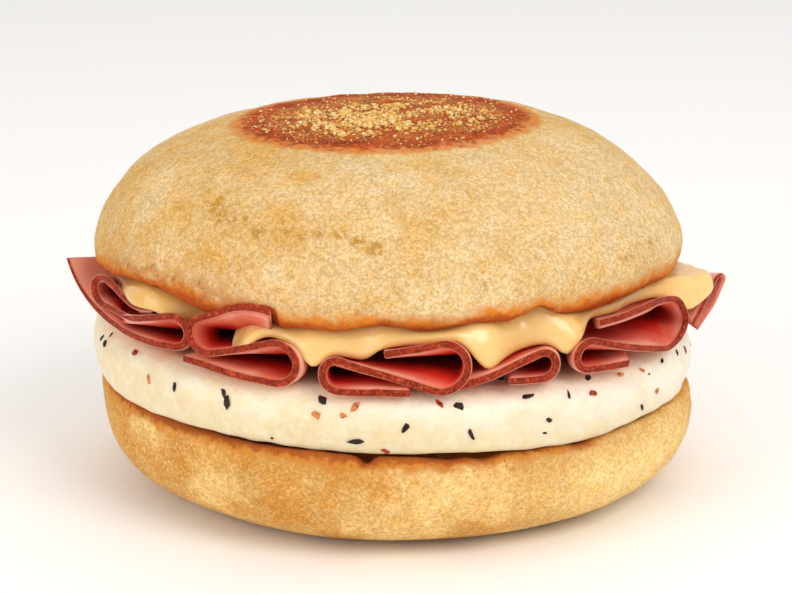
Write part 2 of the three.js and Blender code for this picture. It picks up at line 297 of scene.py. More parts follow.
class Nodes:
    """Builds a node tree with short calls; a value may be a number, a Tint or a socket."""

    def __init__(self, tree: bpy.types.NodeTree) -> None:
        """Starts on an empty tree."""
        self.tree = tree

    def feed(self, socket: Socket, value: object) -> None:
        """Links a socket to another one or sets its value.

        Args:
            socket: The input.
            value: What it gets.
        """
        if isinstance(value, Socket):
            self.tree.links.new(value, socket)
        elif isinstance(value, Tint):
            socket.default_value = value.linear()
        else:
            socket.default_value = value

    def add(self, kind: str, settings: dict[str, object] | None = None, **inputs: object) -> bpy.types.Node:
        """Adds a node.

        Args:
            kind: Blender's name of the node, without "ShaderNode".
            settings: Properties of the node itself.
            inputs: Values of its inputs, with underscores for spaces.

        Returns:
            The node.
        """
        node = self.tree.nodes.new("ShaderNode" + kind)
        for name, value in (settings or {}).items():
            setattr(node, name, value)
        for name, value in inputs.items():
            self.feed(node.inputs[name.replace("_", " ")], value)
        return node

    def value_of(self, name: str) -> Socket:
        """A number that the mesh keeps on its vertices."""
        return self.add("Attribute", {"attribute_name": name}).outputs["Fac"]

    def math(self, operation: str, *values: object) -> Socket:
        """The result of a calculation on one, two or three values.

        Args:
            operation: Blender's name of it.
            values: Numbers or sockets.

        Returns:
            The result.
        """
        node = self.add("Math", {"operation": operation})
        for socket, value in zip(node.inputs, values):
            self.feed(socket, value)
        return node.outputs[0]

    def times(self, value: object, factor: object) -> Socket:
        """The product of two values."""
        return self.math("MULTIPLY", value, factor)

    def linear(self, value: object, slope: object, start: object) -> Socket:
        """A value times a slope, plus a start."""
        return self.math("MULTIPLY_ADD", value, slope, start)

    def remap(self, value: object, low: float, high: float) -> Socket:
        """Soft step: 0 where the value is at low, 1 where it is at high.

        Args:
            value: What is read.
            low: Where the step starts.
            high: Where it ends.

        Returns:
            The step.
        """
        node = self.add(
            "MapRange", {"interpolation_type": "SMOOTHSTEP"},
            Value=value, From_Min=low, From_Max=high, To_Min=0.0, To_Max=1.0,
        )
        return node.outputs[0]

    def blend(self, mask: object, under: object, over: object, strength: float = 1.0) -> Socket:
        """One colour over another where the mask is 1.

        Args:
            mask: 0 to 1.
            under: Colour where the mask is 0.
            over: Colour where it is 1.
            strength: How much of the second colour shows there.

        Returns:
            The blended colour.
        """
        if strength != 1.0:
            mask = self.times(mask, strength)
        return self._mix("MIX", mask, under, over)

    def shade(self, colour: object, amount: object) -> Socket:
        """A colour made lighter or darker by a factor around 1."""
        node = self.add("HueSaturation", Color=colour, Value=amount)
        return node.outputs["Color"]

    def stain(self, colour: object, tint: Tint) -> Socket:
        """A colour seen through a tint."""
        return self._mix("MULTIPLY", 1.0, colour, tint)

    def _mix(self, kind: str, mask: object, under: object, over: object) -> Socket:
        """Mixes two colours; a Mix node has its factor and colours on sockets 0, 6 and 7.

        Args:
            kind: Blender's name of the blend.
            mask: 0 to 1.
            under: First colour.
            over: Second colour.

        Returns:
            The mixed colour, on socket 2.
        """
        node = self.add("Mix", {"data_type": "RGBA", "blend_type": kind})
        for index, value in ((0, mask), (6, under), (7, over)):
            self.feed(node.inputs[index], value)
        return node.outputs[2]

    def relief(self, height: object, depth_mm: float, under: object | None = None) -> Socket:
        """A normal bent by a height of that depth, over another relief if one is given.

        Args:
            height: 0 to 1.
            depth_mm: Depth of the whole height.
            under: Relief that it lies on.

        Returns:
            The normal.
        """
        node = self.add("Bump", Height=height, Strength=1.0, Distance=depth_mm * MM)
        if under is not None:
            self.feed(node.inputs["Normal"], under)
        return node.outputs["Normal"]


def shared_group(name: str, inputs: dict[str, float], result: str) -> tuple[Nodes, dict, object]:
    """Starts a node group whose first input is a place and whose one result is a value.

    Args:
        name: Name of the group.
        inputs: Number inputs with their usual values.
        result: Name of the output.

    Returns:
        The group's nodes, its inputs by name, and the socket that takes the result.
    """
    tree = bpy.data.node_groups.new(name, "ShaderNodeTree")
    tree.interface.new_socket("Vector", in_out="INPUT", socket_type="NodeSocketVector")
    for label, usual in inputs.items():
        made = tree.interface.new_socket(label, in_out="INPUT", socket_type="NodeSocketFloat")
        made.default_value = usual
    tree.interface.new_socket(result, in_out="OUTPUT", socket_type="NodeSocketFloat")
    nodes = Nodes(tree)
    entry = tree.nodes.new("NodeGroupInput")
    leave = tree.nodes.new("NodeGroupOutput")
    return nodes, {s.name: s for s in entry.outputs if s.name}, leave.inputs[0]


class SharedEffects:
    """Effects that several finishes use, each a node group built once."""

    def __init__(self) -> None:
        """Builds the groups."""
        self.blotches = self._blotches()
        self.specks = self._specks()
        self.grain = self._grain()
        self.sand = self._sand()
        self.frayed = self._frayed()

    @staticmethod
    def _per_metre(nodes: Nodes, size: object) -> Socket:
        """Texture scale for lumps of a size in millimetres."""
        return nodes.math("DIVIDE", 1 / MM, size)

    @staticmethod
    def _bent(nodes: Nodes, given: dict, scale: object) -> Socket:
        """A place moved about by noise, which makes even cells ragged.

        Args:
            nodes: Nodes of the group.
            given: The group's inputs.
            scale: Texture scale of the cells.

        Returns:
            The moved place.
        """
        wander = nodes.add("TexNoise", Vector=given["Vector"], Scale=scale, Detail=2.0).outputs["Color"]
        bent = nodes.add("VectorMath", {"operation": "MULTIPLY_ADD"})
        offset = nodes.times(given["Size"], 0.9 * MM)
        for socket, value in zip(bent.inputs, (wander, offset, given["Vector"])):
            nodes.feed(socket, value)
        return bent.outputs[0]

    def _blotches(self) -> bpy.types.NodeTree:
        """Cloudy patches: a mask that covers a share of the surface with soft edges.

        Returns:
            The node group.
        """
        nodes, given, result = shared_group(
            "Blotches", {"Size": 6.0, "Share": 0.5, "Softness": 0.15, "Detail": 3.0}, "Mask"
        )
        cloud = nodes.add(
            "TexNoise", Vector=given["Vector"], Scale=self._per_metre(nodes, given["Size"]),
            Detail=given["Detail"], Roughness=0.55,
        ).outputs[0]
        level = nodes.linear(given["Share"], -0.5, 0.75)
        over = nodes.math("SUBTRACT", cloud, level)
        part = nodes.math("DIVIDE", over, given["Softness"])
        nodes.feed(result, nodes.remap(part, -0.5, 0.5))
        return nodes.tree

    def _specks(self) -> bpy.types.NodeTree:
        """Separate ragged specks of a size on a share of the cells they are sown in.

        Returns:
            The node group.
        """
        nodes, given, result = shared_group(
            "Specks", {"Size": 0.8, "Share": 0.3, "Spread": 0.35}, "Mask"
        )
        scale = self._per_metre(nodes, given["Size"])
        cells = nodes.add("TexVoronoi", Vector=self._bent(nodes, given, scale), Scale=scale)
        chosen = nodes.add("SeparateColor", Color=cells.outputs["Color"]).outputs[0]
        sown = nodes.math("LESS_THAN", chosen, given["Share"])
        inner = nodes.times(given["Spread"], 0.6)
        spot = nodes.add(
            "MapRange", {"interpolation_type": "SMOOTHSTEP"}, Value=cells.outputs["Distance"],
            From_Min=given["Spread"], From_Max=inner, To_Min=0.0, To_Max=1.0,
        ).outputs[0]
        nodes.feed(result, nodes.times(sown, spot))
        return nodes.tree

    def _grain(self) -> bpy.types.NodeTree:
        """Height of a grainy skin: coarse lumps with finer ones on them.

        Returns:
            The node group.
        """
        nodes, given, result = shared_group("Grain", {"Size": 0.6, "Fineness": 0.5}, "Height")
        scale = self._per_metre(nodes, given["Size"])
        coarse = nodes.add("TexNoise", Vector=given["Vector"], Scale=scale, Detail=3.0).outputs[0]
        double = nodes.times(scale, 2.3)
        cells = nodes.add("TexVoronoi", Vector=given["Vector"], Scale=double).outputs["Distance"]
        beads = nodes.math("SUBTRACT", 1.0, cells)
        mixed = nodes.add("Mix", {"data_type": "FLOAT"})
        for index, value in ((0, given["Fineness"]), (2, coarse), (3, beads)):
            nodes.feed(mixed.inputs[index], value)
        nodes.feed(result, mixed.outputs[0])
        return nodes.tree

    def _sand(self) -> bpy.types.NodeTree:
        """Fine sand: every grain has its own value from 0 to 1.

        Returns:
            The node group.
        """
        nodes, given, result = shared_group("Sand", {"Size": 0.3}, "Value")
        scale = self._per_metre(nodes, given["Size"])
        bent = self._bent(nodes, given, scale)
        values = []
        for coarser in (1.0, 0.6):
            cells = nodes.add("TexVoronoi", Vector=bent, Scale=nodes.times(scale, coarser))
            values.append(nodes.add("SeparateColor", Color=cells.outputs["Color"]).outputs[0])
        both = nodes.math("ADD", *values)
        nodes.feed(result, nodes.times(both, 0.5))
        return nodes.tree

    def _frayed(self) -> bpy.types.NodeTree:
        """Mask of an edge that fades over a reach and frays into the surface beside it.

        Returns:
            The node group.
        """
        nodes, given, result = shared_group(
            "Frayed_edge", {"Distance": 0.0, "Reach": 2.0, "Fray": 1.0, "Size": 2.0}, "Mask"
        )
        cloud = nodes.add(
            "TexNoise", Vector=given["Vector"], Scale=self._per_metre(nodes, given["Size"]),
            Detail=4.0, Roughness=0.65,
        ).outputs[0]
        shift = nodes.times(nodes.math("SUBTRACT", cloud, 0.5), given["Fray"])
        away = nodes.linear(shift, 4.0, given["Distance"])
        part = nodes.math("DIVIDE", away, given["Reach"])
        nodes.feed(result, nodes.remap(part, 1.0, 0.0))
        return nodes.tree


class Surface(Nodes):
    """Nodes of one material, with its place on the piece and the shared effects at hand."""

    def __init__(self, tree: bpy.types.NodeTree, effects: SharedEffects) -> None:
        """Starts from the material's own tree.

        Args:
            tree: The material's tree.
            effects: Shared node groups.
        """
        super().__init__(tree)
        self.effects = effects
        # Object coordinates, in metres.
        self.place = self.add("TexCoord").outputs["Object"]

    def cloud(self, size: float, detail: float) -> Socket:
        """Noise around 0.5 with lumps of a size in millimetres."""
        node = self.add("TexNoise", Vector=self.place, Scale=1 / (size * MM), Detail=detail)
        return node.outputs[0]

    def _effect(self, group: bpy.types.NodeTree, **inputs: object) -> Socket:
        """The result of a shared effect placed with its own values."""
        node = self.add("Group", {"node_tree": group}, Vector=self.place, **inputs)
        return node.outputs[0]

    def blotches(self, size: float, share: float, softness: float, detail: float = 3.0) -> Socket:
        """Mask of cloudy patches of a size on a share of the surface."""
        inputs = {"Size": size, "Share": share, "Softness": softness, "Detail": detail}
        return self._effect(self.effects.blotches, **inputs)

    def specks(self, size: float, share: float, spread: float) -> Socket:
        """Mask of separate specks on a share of the cells they are sown in."""
        return self._effect(self.effects.specks, Size=size, Share=share, Spread=spread)

    def grain(self, size: float, fineness: float) -> Socket:
        """Height of a grainy skin."""
        return self._effect(self.effects.grain, Size=size, Fineness=fineness)

    def sand(self, size: float) -> Socket:
        """Fine grains that each have a value of their own."""
        return self._effect(self.effects.sand, Size=size)

    def frayed(self, distance: object, reach: float, fray: float, size: float) -> Socket:
        """Mask of an edge that fades over a reach and frays."""
        return self._effect(self.effects.frayed, Distance=distance, Reach=reach, Fray=fray, Size=size)


# ---- finishes


@dataclass(frozen=True)
class Finish:
    """A finish by name; each kind says what feeds the shader."""

    name: str

    def make(self, effects: SharedEffects) -> bpy.types.Material:
        """The material.

        Args:
            effects: Shared node groups.

        Returns:
            The finished material.
        """
        material = bpy.data.materials.new(self.name)
        material.use_nodes = True
        nodes = Surface(material.node_tree, effects)
        shader = next(n for n in material.node_tree.nodes if n.type == "BSDF_PRINCIPLED")
        for label, value in self.inputs(nodes).items():
            nodes.feed(shader.inputs[label], value)
        return material

    def inputs(self, nodes: Surface) -> dict[str, object]:
        """What feeds the shader.

        Args:
            nodes: Nodes of the material.

        Returns:
            Values and sockets by the name of the shader's input.
        """
        raise NotImplementedError


@dataclass(frozen=True)
class MuffinFinish(Finish):
    """Baked skin: pale and dusted with flour, with golden patches, browned at its cut edge and on its face;
    painted paler on its lit right side, with painted shade in the heel's hollows under the egg.
    """

    cream: Tint
    golden: Tint
    flour_and_lit_pale: Tint
    edge_gold: Tint
    edge_brown: Tint
    meal_gold: Tint = Tint(212, 156, 56)
    drift: Tint = Tint(255, 242, 206)
    # Darker brown painted as shade in the hollows under the egg.
    nook_shade: Tint = Tint(168, 86, 36)
    face_brown: Tint = Tint(174, 68, 20)
    face_dark: Tint = Tint(126, 42, 13)
    face_fringe: Tint = Tint(210, 116, 38)
    meal: Tint = Tint(224, 184, 104)
    sand_shade: Tint = Tint(234, 220, 194)
    dent_gold: Tint = Tint(190, 140, 50)
    toasted: Tint = Tint(172, 90, 22)
    charred: Tint = Tint(112, 56, 28)
    gold_share: float = 0.5
    gold_reach: float = 4.0
    brown_reach: float = 1.3

    def inputs(self, nodes: Surface) -> dict[str, object]:
        """Skin, browned edge and face, and their relief, as Finish says."""
        sand = nodes.sand(0.24)
        skin = self._skin(nodes, sand)
        skin = self._cut_edge(nodes, sand, skin)
        skin = self._face(nodes, sand, skin)
        pits = nodes.value_of("pits")
        torn = nodes.blotches(0.8, share=0.5, softness=0.2)
        holes = nodes.remap(nodes.times(pits, torn), 0.08, 0.55)
        skin = nodes.blend(holes, skin, self.dent_gold, 0.9)
        # Painted shade: the hollows under the egg are painted darker brown.
        skin = nodes.blend(nodes.value_of("nook"), skin, self.nook_shade)
        fine = nodes.grain(0.45, fineness=0.5)
        normal = nodes.relief(nodes.cloud(2.2, 3.0), 0.3)
        normal = nodes.relief(nodes.times(pits, torn), -0.2, normal)
        normal = nodes.relief(fine, 0.17, normal)
        return {
            "Base Color": skin, "Normal": normal, "Roughness": 0.82,
            "Subsurface Weight": 0.1, "Subsurface Radius": (0.0015, 0.0008, 0.0004),
            "Subsurface Scale": 1.0, "Specular IOR Level": 0.15,
        }

    def _skin(self, nodes: Surface, sand: object) -> Socket:
        """Cream, golden and flour-pale patches with a fine meal over them, and painted light that makes the
        lit right side paler.

        Args:
            nodes: Nodes of the material.
            sand: Value of each grain.

        Returns:
            The colour.
        """
        gold = nodes.blotches(8.0, share=self.gold_share, softness=0.28, detail=6.0)
        skin = nodes.blend(gold, self.cream, self.golden, 0.8)
        flour = nodes.blotches(13.0, share=0.4, softness=0.22, detail=6.0)
        skin = nodes.blend(flour, skin, self.flour_and_lit_pale, 0.75)
        meal = nodes.blotches(0.9, share=0.35, softness=0.16, detail=4.0)
        often = nodes.times(meal, nodes.linear(gold, 0.4, 0.12))
        skin = nodes.blend(often, skin, self.meal_gold)
        pale = nodes.blotches(0.5, share=0.3, softness=0.14, detail=2.0)
        skin = nodes.blend(pale, skin, self.flour_and_lit_pale, 0.4)
        # Painted light: the pale mask makes the right side, where the key light falls, paler.
        skin = nodes.blend(nodes.value_of("pale"), skin, self.flour_and_lit_pale)
        broad = nodes.linear(nodes.cloud(3.5, 3.0), 0.24, 0.91)
        skin = nodes.shade(skin, broad)
        dark_grain = nodes.stain(skin, self.sand_shade)
        dotted = nodes.blend(nodes.remap(sand, 0.05, 0.95), dark_grain, nodes.shade(skin, 1.07))
        drift = nodes.blotches(2.6, share=0.35, softness=0.25, detail=6.0)
        return nodes.blend(drift, dotted, nodes.stain(dotted, self.drift), 0.7)

    def _cut_edge(self, nodes: Surface, sand: object, skin: object) -> Socket:
        """Golden fade, brown line and dark specks where the muffin was cut.

        Args:
            nodes: Nodes of the material.
            sand: Value of each grain.
            skin: The colour so far.

        Returns:
            The colour with the edge.
        """
        height = nodes.value_of("edge")
        toast = nodes.value_of("toast")
        fade = nodes.frayed(height, reach=self.gold_reach, fray=1.2, size=3.0)
        patchy = nodes.blotches(4.5, share=0.55, softness=0.6, detail=5.0)
        grainy = nodes.linear(sand, 0.5, nodes.linear(patchy, 0.55, 0.35))
        gilt = nodes.remap(nodes.times(fade, grainy), 0.05, 0.85)
        skin = nodes.blend(gilt, skin, self.edge_gold)
        patches = nodes.times(toast, nodes.blotches(1.6, share=0.6, softness=0.35))
        wide = nodes.times(nodes.times(patches, 0.85), nodes.linear(sand, 0.9, 0.25))
        skin = nodes.blend(wide, skin, self.toasted)
        burnt = nodes.times(nodes.blotches(0.9, share=0.18, softness=0.1), toast)
        skin = nodes.blend(burnt, skin, self.charred, 0.8)
        line = nodes.frayed(height, reach=self.brown_reach, fray=0.8, size=1.4)
        browned = nodes.times(line, nodes.linear(grainy, 0.7, 0.3))
        skin = nodes.blend(browned, skin, self.edge_brown)
        return nodes.shade(skin, nodes.linear(sand, 0.16, 0.92))

    def _face(self, nodes: Surface, sand: object, skin: object) -> Socket:
        """Browned face with a frayed orange fringe, dusted with fine meal.

        Args:
            nodes: Nodes of the material.
            sand: Value of each grain.
            skin: The colour so far.

        Returns:
            The colour with the face.
        """
        outside = nodes.value_of("face")
        fringe = nodes.frayed(outside, reach=2.2, fray=1.1, size=1.8)
        grainy = nodes.times(fringe, nodes.linear(sand, 1.4, 0.25))
        skin = nodes.blend(nodes.remap(grainy, 0.1, 0.9), skin, self.face_fringe, 0.8)
        inner = nodes.math("ADD", outside, 2.2)
        brown = nodes.frayed(inner, reach=2.6, fray=2.2, size=1.6)
        dark = nodes.blotches(3.0, share=0.45, softness=0.35, detail=6.0)
        browned = nodes.blend(dark, self.face_brown, self.face_dark)
        dust = nodes.blotches(0.5, share=0.5, softness=0.14, detail=2.0)
        where = nodes.blotches(7.0, share=0.5, softness=0.35)
        centre = nodes.remap(outside, -2.5, -8.0)
        cover = nodes.times(nodes.times(dust, where), centre)
        browned = nodes.blend(cover, browned, self.meal, 0.5)
        flecks = nodes.blotches(0.6, share=0.3, softness=0.1, detail=2.0)
        browned = nodes.blend(flecks, browned, self.face_fringe, 0.75)
        return nodes.blend(brown, skin, browned)


@dataclass(frozen=True)
class CrumbFinish(Finish):
    """Toasted inside of the muffin: uneven, full of small holes with painted shade in them."""

    name: str = "Muffin_crumb"
    pale: Tint = Tint(236, 205, 150)
    toasted: Tint = Tint(190, 128, 66)
    hole_shade: Tint = Tint(150, 92, 48)

    def inputs(self, nodes: Surface) -> dict[str, object]:
        """Colours and relief, as Finish says."""
        toast = nodes.blotches(5.0, share=0.6, softness=0.4, detail=5.0)
        crumb = nodes.blend(toast, self.pale, self.toasted)
        # Painted shade: the holes are painted darker brown.
        holes = nodes.specks(1.8, share=0.6, spread=0.4)
        crumb = nodes.blend(holes, crumb, self.hole_shade, 0.6)
        depth = nodes.relief(nodes.math("SUBTRACT", 1.0, holes), 0.5)
        fine = nodes.grain(0.7, fineness=0.4)
        return {
            "Base Color": crumb, "Normal": nodes.relief(fine, 0.2, depth), "Roughness": 0.85,
            "Specular IOR Level": 0.2,
        }


@dataclass(frozen=True)
class EggFinish(Finish):
    """Cooked egg: off-white, moist and a little uneven, with painted shade that makes it yellower low down
    and to the left.
    """

    name: str = "Egg_white"
    white: Tint = Tint(235, 228, 211)
    cream: Tint = Tint(224, 206, 164)
    cooked: Tint = Tint(222, 192, 138)

    def inputs(self, nodes: Surface) -> dict[str, object]:
        """Colours and relief, as Finish says."""
        # Painted shade: yellower low down and to the left, away from the light.
        low = nodes.value_of("low")
        cloudy = nodes.cloud(7.0, 4.0)
        across = nodes.add("SeparateXYZ", Vector=nodes.place).outputs["X"]
        shade_low_and_left = nodes.linear(across, -9.0, low)
        yellow = nodes.remap(nodes.linear(cloudy, 1.3, shade_low_and_left), 0.5, 1.45)
        skin = nodes.blend(yellow, self.white, self.cream)
        patch = nodes.blotches(11.0, share=0.25, softness=0.2, detail=4.0)
        skin = nodes.blend(patch, skin, self.cooked, 0.35)
        mottle = nodes.cloud(0.9, 3.0)
        foam = nodes.blotches(2.2, share=0.4, softness=0.3, detail=5.0)
        skin = nodes.blend(foam, skin, self.white, 0.4)
        skin = nodes.shade(skin, nodes.linear(mottle, 0.2, 0.9))
        soft = nodes.relief(nodes.cloud(3.0, 3.0), 0.35)
        pores = nodes.grain(0.8, fineness=0.25)
        damp = nodes.linear(nodes.cloud(2.2, 2.0), 0.3, 0.26)
        return {
            "Base Color": skin, "Normal": nodes.relief(pores, 0.09, soft), "Roughness": damp,
            "Subsurface Weight": 0.45, "Subsurface Radius": (0.004, 0.003, 0.0018),
            "Subsurface Scale": 1.0, "Coat Weight": 0.15, "Coat Roughness": 0.3,
        }


@dataclass(frozen=True)
class HamFinish(Finish):
    """Face of a slice of ham: pink on the outside of a fold, with painted shade that turns it a deeper red
    inside the fold and deeper in from the rim.
    """

    name: str = "Ham_face"
    blush: Tint = Tint(246, 184, 162)
    pink: Tint = Tint(222, 120, 96)
    red: Tint = Tint(206, 42, 30)
    shade_maroon: Tint = Tint(126, 28, 22)
    skin: Tint = Tint(176, 76, 52)

    def inputs(self, nodes: Surface) -> dict[str, object]:
        """Colours and relief, as Finish says."""
        # Painted shade: the meat turns red, then maroon, deeper in from the rim and on the inner side of a
        # fold.
        inside = nodes.value_of("inside")
        cloud = nodes.cloud(5.0, 3.0)
        deep = nodes.linear(nodes.value_of("hollow"), 3.6, inside)
        edge = nodes.linear(nodes.math("SUBTRACT", cloud, 0.5), 3.0, deep)
        meat = nodes.blend(nodes.remap(edge, 1.3, 4.6), self.blush, self.pink)
        meat = nodes.blend(nodes.remap(edge, 3.2, 7.6), meat, self.red)
        meat = nodes.blend(nodes.remap(edge, 7.0, 14.0), meat, self.shade_maroon)
        fibre = nodes.cloud(0.8, 3.0)
        meat = nodes.shade(meat, nodes.linear(fibre, 0.2, 0.9))
        meat = nodes.blend(nodes.remap(nodes.value_of("rim"), 0.5, 0.1), meat, self.skin, 0.65)
        normal = nodes.relief(nodes.cloud(1.6, 3.0), 0.12)
        return {
            "Base Color": meat, "Normal": normal,
            "Roughness": nodes.linear(cloud, 0.3, 0.3), "Specular IOR Level": 0.3,
            "Subsurface Weight": 0.3, "Subsurface Radius": (0.003, 0.0008, 0.0005),
            "Subsurface Scale": 1.0, "Coat Weight": 0.08, "Coat Roughness": 0.35,
        }


@dataclass(frozen=True)
class RindFinish(Finish):
    """Smoked edge of the ham: brick red with dark and light specks."""

    name: str = "Ham_rind"
    brick: Tint = Tint(152, 47, 20)
    dark: Tint = Tint(88, 25, 12)
    light: Tint = Tint(208, 96, 50)

    def inputs(self, nodes: Surface) -> dict[str, object]:
        """Colours and relief, as Finish says."""
        patches = nodes.blotches(2.2, share=0.5, softness=0.4)
        rind = nodes.blend(patches, self.brick, self.dark, 0.4)
        sand = nodes.sand(0.26)
        rind = nodes.blend(nodes.remap(sand, 0.45, 0.1), rind, self.dark, 0.75)
        rind = nodes.blend(nodes.remap(sand, 0.62, 0.95), rind, self.light, 0.6)
        flecks = nodes.specks(0.5, share=0.25, spread=0.45)
        rind = nodes.blend(flecks, rind, self.light, 0.3)
        fine = nodes.grain(0.5, fineness=0.4)
        return {
            "Base Color": rind, "Normal": nodes.relief(fine, 0.14), "Roughness": 0.6,
            "Specular IOR Level": 0.15,
            "Subsurface Weight": 0.15, "Subsurface Radius": (0.002, 0.0006, 0.0004),
            "Subsurface Scale": 1.0,
        }


@dataclass(frozen=True)
class CheeseFinish(Finish):
    """Melted cheese: pale warm yellow, smooth and shiny, with painted shade on its left side."""

    name: str = "Melted_cheese"
    yellow: Tint = Tint(238, 196, 120)
    pale: Tint = Tint(246, 214, 152)
    gold: Tint = Tint(230, 172, 86)
    # Darker gold, painted as shade on the left under the muffin's edge.
    baked: Tint = Tint(214, 162, 82)

    def inputs(self, nodes: Surface) -> dict[str, object]:
        """Colours and relief, as Finish says."""
        light = nodes.blotches(5.0, share=0.45, softness=0.5)
        melt = nodes.blend(light, self.yellow, self.pale, 0.6)
        deep = nodes.blotches(8.0, share=0.25, softness=0.4)
        melt = nodes.blend(deep, melt, self.gold, 0.5)
        # Painted shade: the left side, under the muffin's edge, is a darker gold.
        across = nodes.add("SeparateXYZ", Vector=nodes.place).outputs["X"]
        melt = nodes.blend(nodes.remap(across, -0.027, -0.034), melt, self.baked, 0.75)
        normal = nodes.relief(nodes.cloud(1.7, 3.0), 0.22)
        gloss = nodes.linear(nodes.cloud(3.0, 2.0), 0.2, 0.12)
        return {
            "Base Color": melt, "Normal": normal, "Roughness": gloss,
            "Subsurface Weight": 0.5, "Subsurface Radius": (0.004, 0.0025, 0.001),
            "Subsurface Scale": 1.0, "Coat Weight": 0.4, "Coat Roughness": 0.08,
        }


@dataclass(frozen=True)
class FleckFinish(Finish):
    """Cracked pepper or meal: a speckled hard flake."""

    body: Tint
    shade: Tint
    glint: Tint
    rough: float = 0.5

    def inputs(self, nodes: Surface) -> dict[str, object]:
        """Colours and relief, as Finish says."""
        patches = nodes.blotches(0.8, share=0.5, softness=0.15)
        skin = nodes.blend(patches, self.body, self.shade)
        bright = nodes.blotches(0.4, share=0.25, softness=0.2)
        skin = nodes.blend(bright, skin, self.glint, 0.6)
        height = nodes.grain(0.3, fineness=0.4)
        return {
            "Base Color": skin, "Normal": nodes.relief(height, 0.06), "Roughness": self.rough,
            "Specular IOR Level": 0.2,
        }


@dataclass(frozen=True)
class FloorFinish(Finish):
    """Plain pale studio floor."""

    name: str = "Studio_floor"
    white: Tint = Tint(250, 250, 250)
    off_white: Tint = Tint(248, 247, 246)

    def inputs(self, nodes: Surface) -> dict[str, object]:
        """Colours and relief, as Finish says."""
        faint = nodes.blotches(60.0, share=0.5, softness=1.0)
        paper = nodes.blend(faint, self.white, self.off_white, 0.3)
        return {"Base Color": paper, "Roughness": 0.8, "Specular IOR Level": 0.1}


# ---- ham


@dataclass(frozen=True)
class Turn:
    """A circle that the middle line of a slice passes; radius 0 is an end of the slice.

    The line passes it anticlockwise (way 1) or clockwise (way -1). "layer" is the layer of an end
    or of a gentle bend where the slice lies flat inside the sandwich, or the half step between two
    layers for a full turn. There a full turn keeps its outermost place, or stands out further by
    its reach, unless "inner" gives the x of its middle and "inner_z" the height. A tuck sets the
    rim back at a turn.
    """

    x: float
    z: float
    r: float
    way: int
    layer: float
    bend: int = 0
    start: float = 0.0
    stop: float = 0.0
    start_inside: float | None = None
    inner: float | None = None
    inner_z: float | None = None
    reach: float = 0.0
    loose: float | None = None
    tuck: float = 0.0


SLICES: dict[str, tuple[Turn, ...]] = {
    # Curled flap at the far left, a fold tucked behind ham_2 and a fold back under the cheese.
    "ham_1": (
        Turn(-43.3, 41.0, 10.8, 1, layer=0, bend=-1, start=198, start_inside=213, inner=-40.0),
        Turn(-34.2, 32.95, 2.5, 1, layer=0.5, tuck=2.0),
        Turn(-43.3, 42.55, 9.75, -1, layer=1, bend=-1),
        Turn(-46.3, 34.9, 2.2, -1, layer=1.5, inner=-45.0),
        Turn(-40.3, 40.3, 5.0, 1, layer=2, bend=-1),
        Turn(-37.4, 35.95, 0.0, 1, layer=2),
    ),
    # Lower fold open to the right; the top layer stands outside the muffin's edge.
    "ham_2": (
        Turn(-32.4, 29.5, 0.0, 1, layer=0, inner=-28.8),
        Turn(-18.1, 31.4, 3.2, 1, layer=0.5, reach=1.3),
        Turn(-28.7, 34.1, 2.7, -1, layer=1.5, inner=-26.6),
        Turn(-21.2, 30.5, 9.3, -1, layer=2, bend=1, stop=73),
    ),
    # Two round folds facing each other.
    "ham_3": (
        Turn(2.0, 27.9, 0.0, 1, layer=0),
        Turn(-8.6, 30.3, 2.35, -1, layer=0.5, reach=-0.5),
        Turn(7.0, 31.6, 3.6, 1, layer=1.5),
        Turn(-1.8, 33.9, 0.0, 1, layer=2),
    ),
    # A single fold that opens to the left.
    "ham_4": (
        Turn(9.2, 28.0, 0.0, 1, layer=0.4, tuck=1.6),
        Turn(22.0, 30.6, 2.0, -1, layer=0.5, loose=1.7, reach=0.2),
        Turn(16.8, 28.7, 0.0, 1, layer=0),
    ),
    # A wide fold open to the left above a small one.
    "ham_5": (
        Turn(30.6, 35.6, 0.0, 1, layer=2, inner_z=33.0),
        Turn(40.3, 30.3, 5.75, -1, layer=2, bend=1, loose=3.5, inner=39.3, inner_z=29.2),
        Turn(43.3, 30.4, 3.0, -1, layer=1.5, inner=41.8),
        Turn(29.5, 30.9, 2.2, 1, layer=0.5, reach=0.5),
        Turn(35.8, 27.8, 0.0, 1, layer=0),
    ),
    # Narrow flap at the far right: a pocket like a leaf, open to the front.
    "ham_6": (
        Turn(47.6, 28.9, 0.0, 1, layer=1, inner=46.0, inner_z=29.4),
        Turn(52.7, 34.0, 1.0, -1, layer=2, loose=1.0, inner=50.4, inner_z=30.6),
        Turn(45.5, 35.5, 8.0, -1, layer=2, bend=1, loose=4.8, inner=46.4, inner_z=31.6),
        Turn(48.6, 27.6, 0.0, 1, layer=0, inner=46.2, inner_z=26.7),
    ),
}

# How fast painted shade darkens the meat with depth, where a slice differs from the others.
PAINTED_SHADE_DEPTH = {"ham_2": 1.3, "ham_3": 1.7, "ham_5": 0.5, "ham_6": 0.3}

# Length of the slice that shows rind at its rim, where it doesn't go all the way.
RIND_LENGTH = {"ham_6": 8.6}

# Share of the thickness that is gone at the first and last edge of a slice.
THIN_EDGES = {"ham_1": (0.55, 0.2), "ham_6": (0.35, 0.75)}


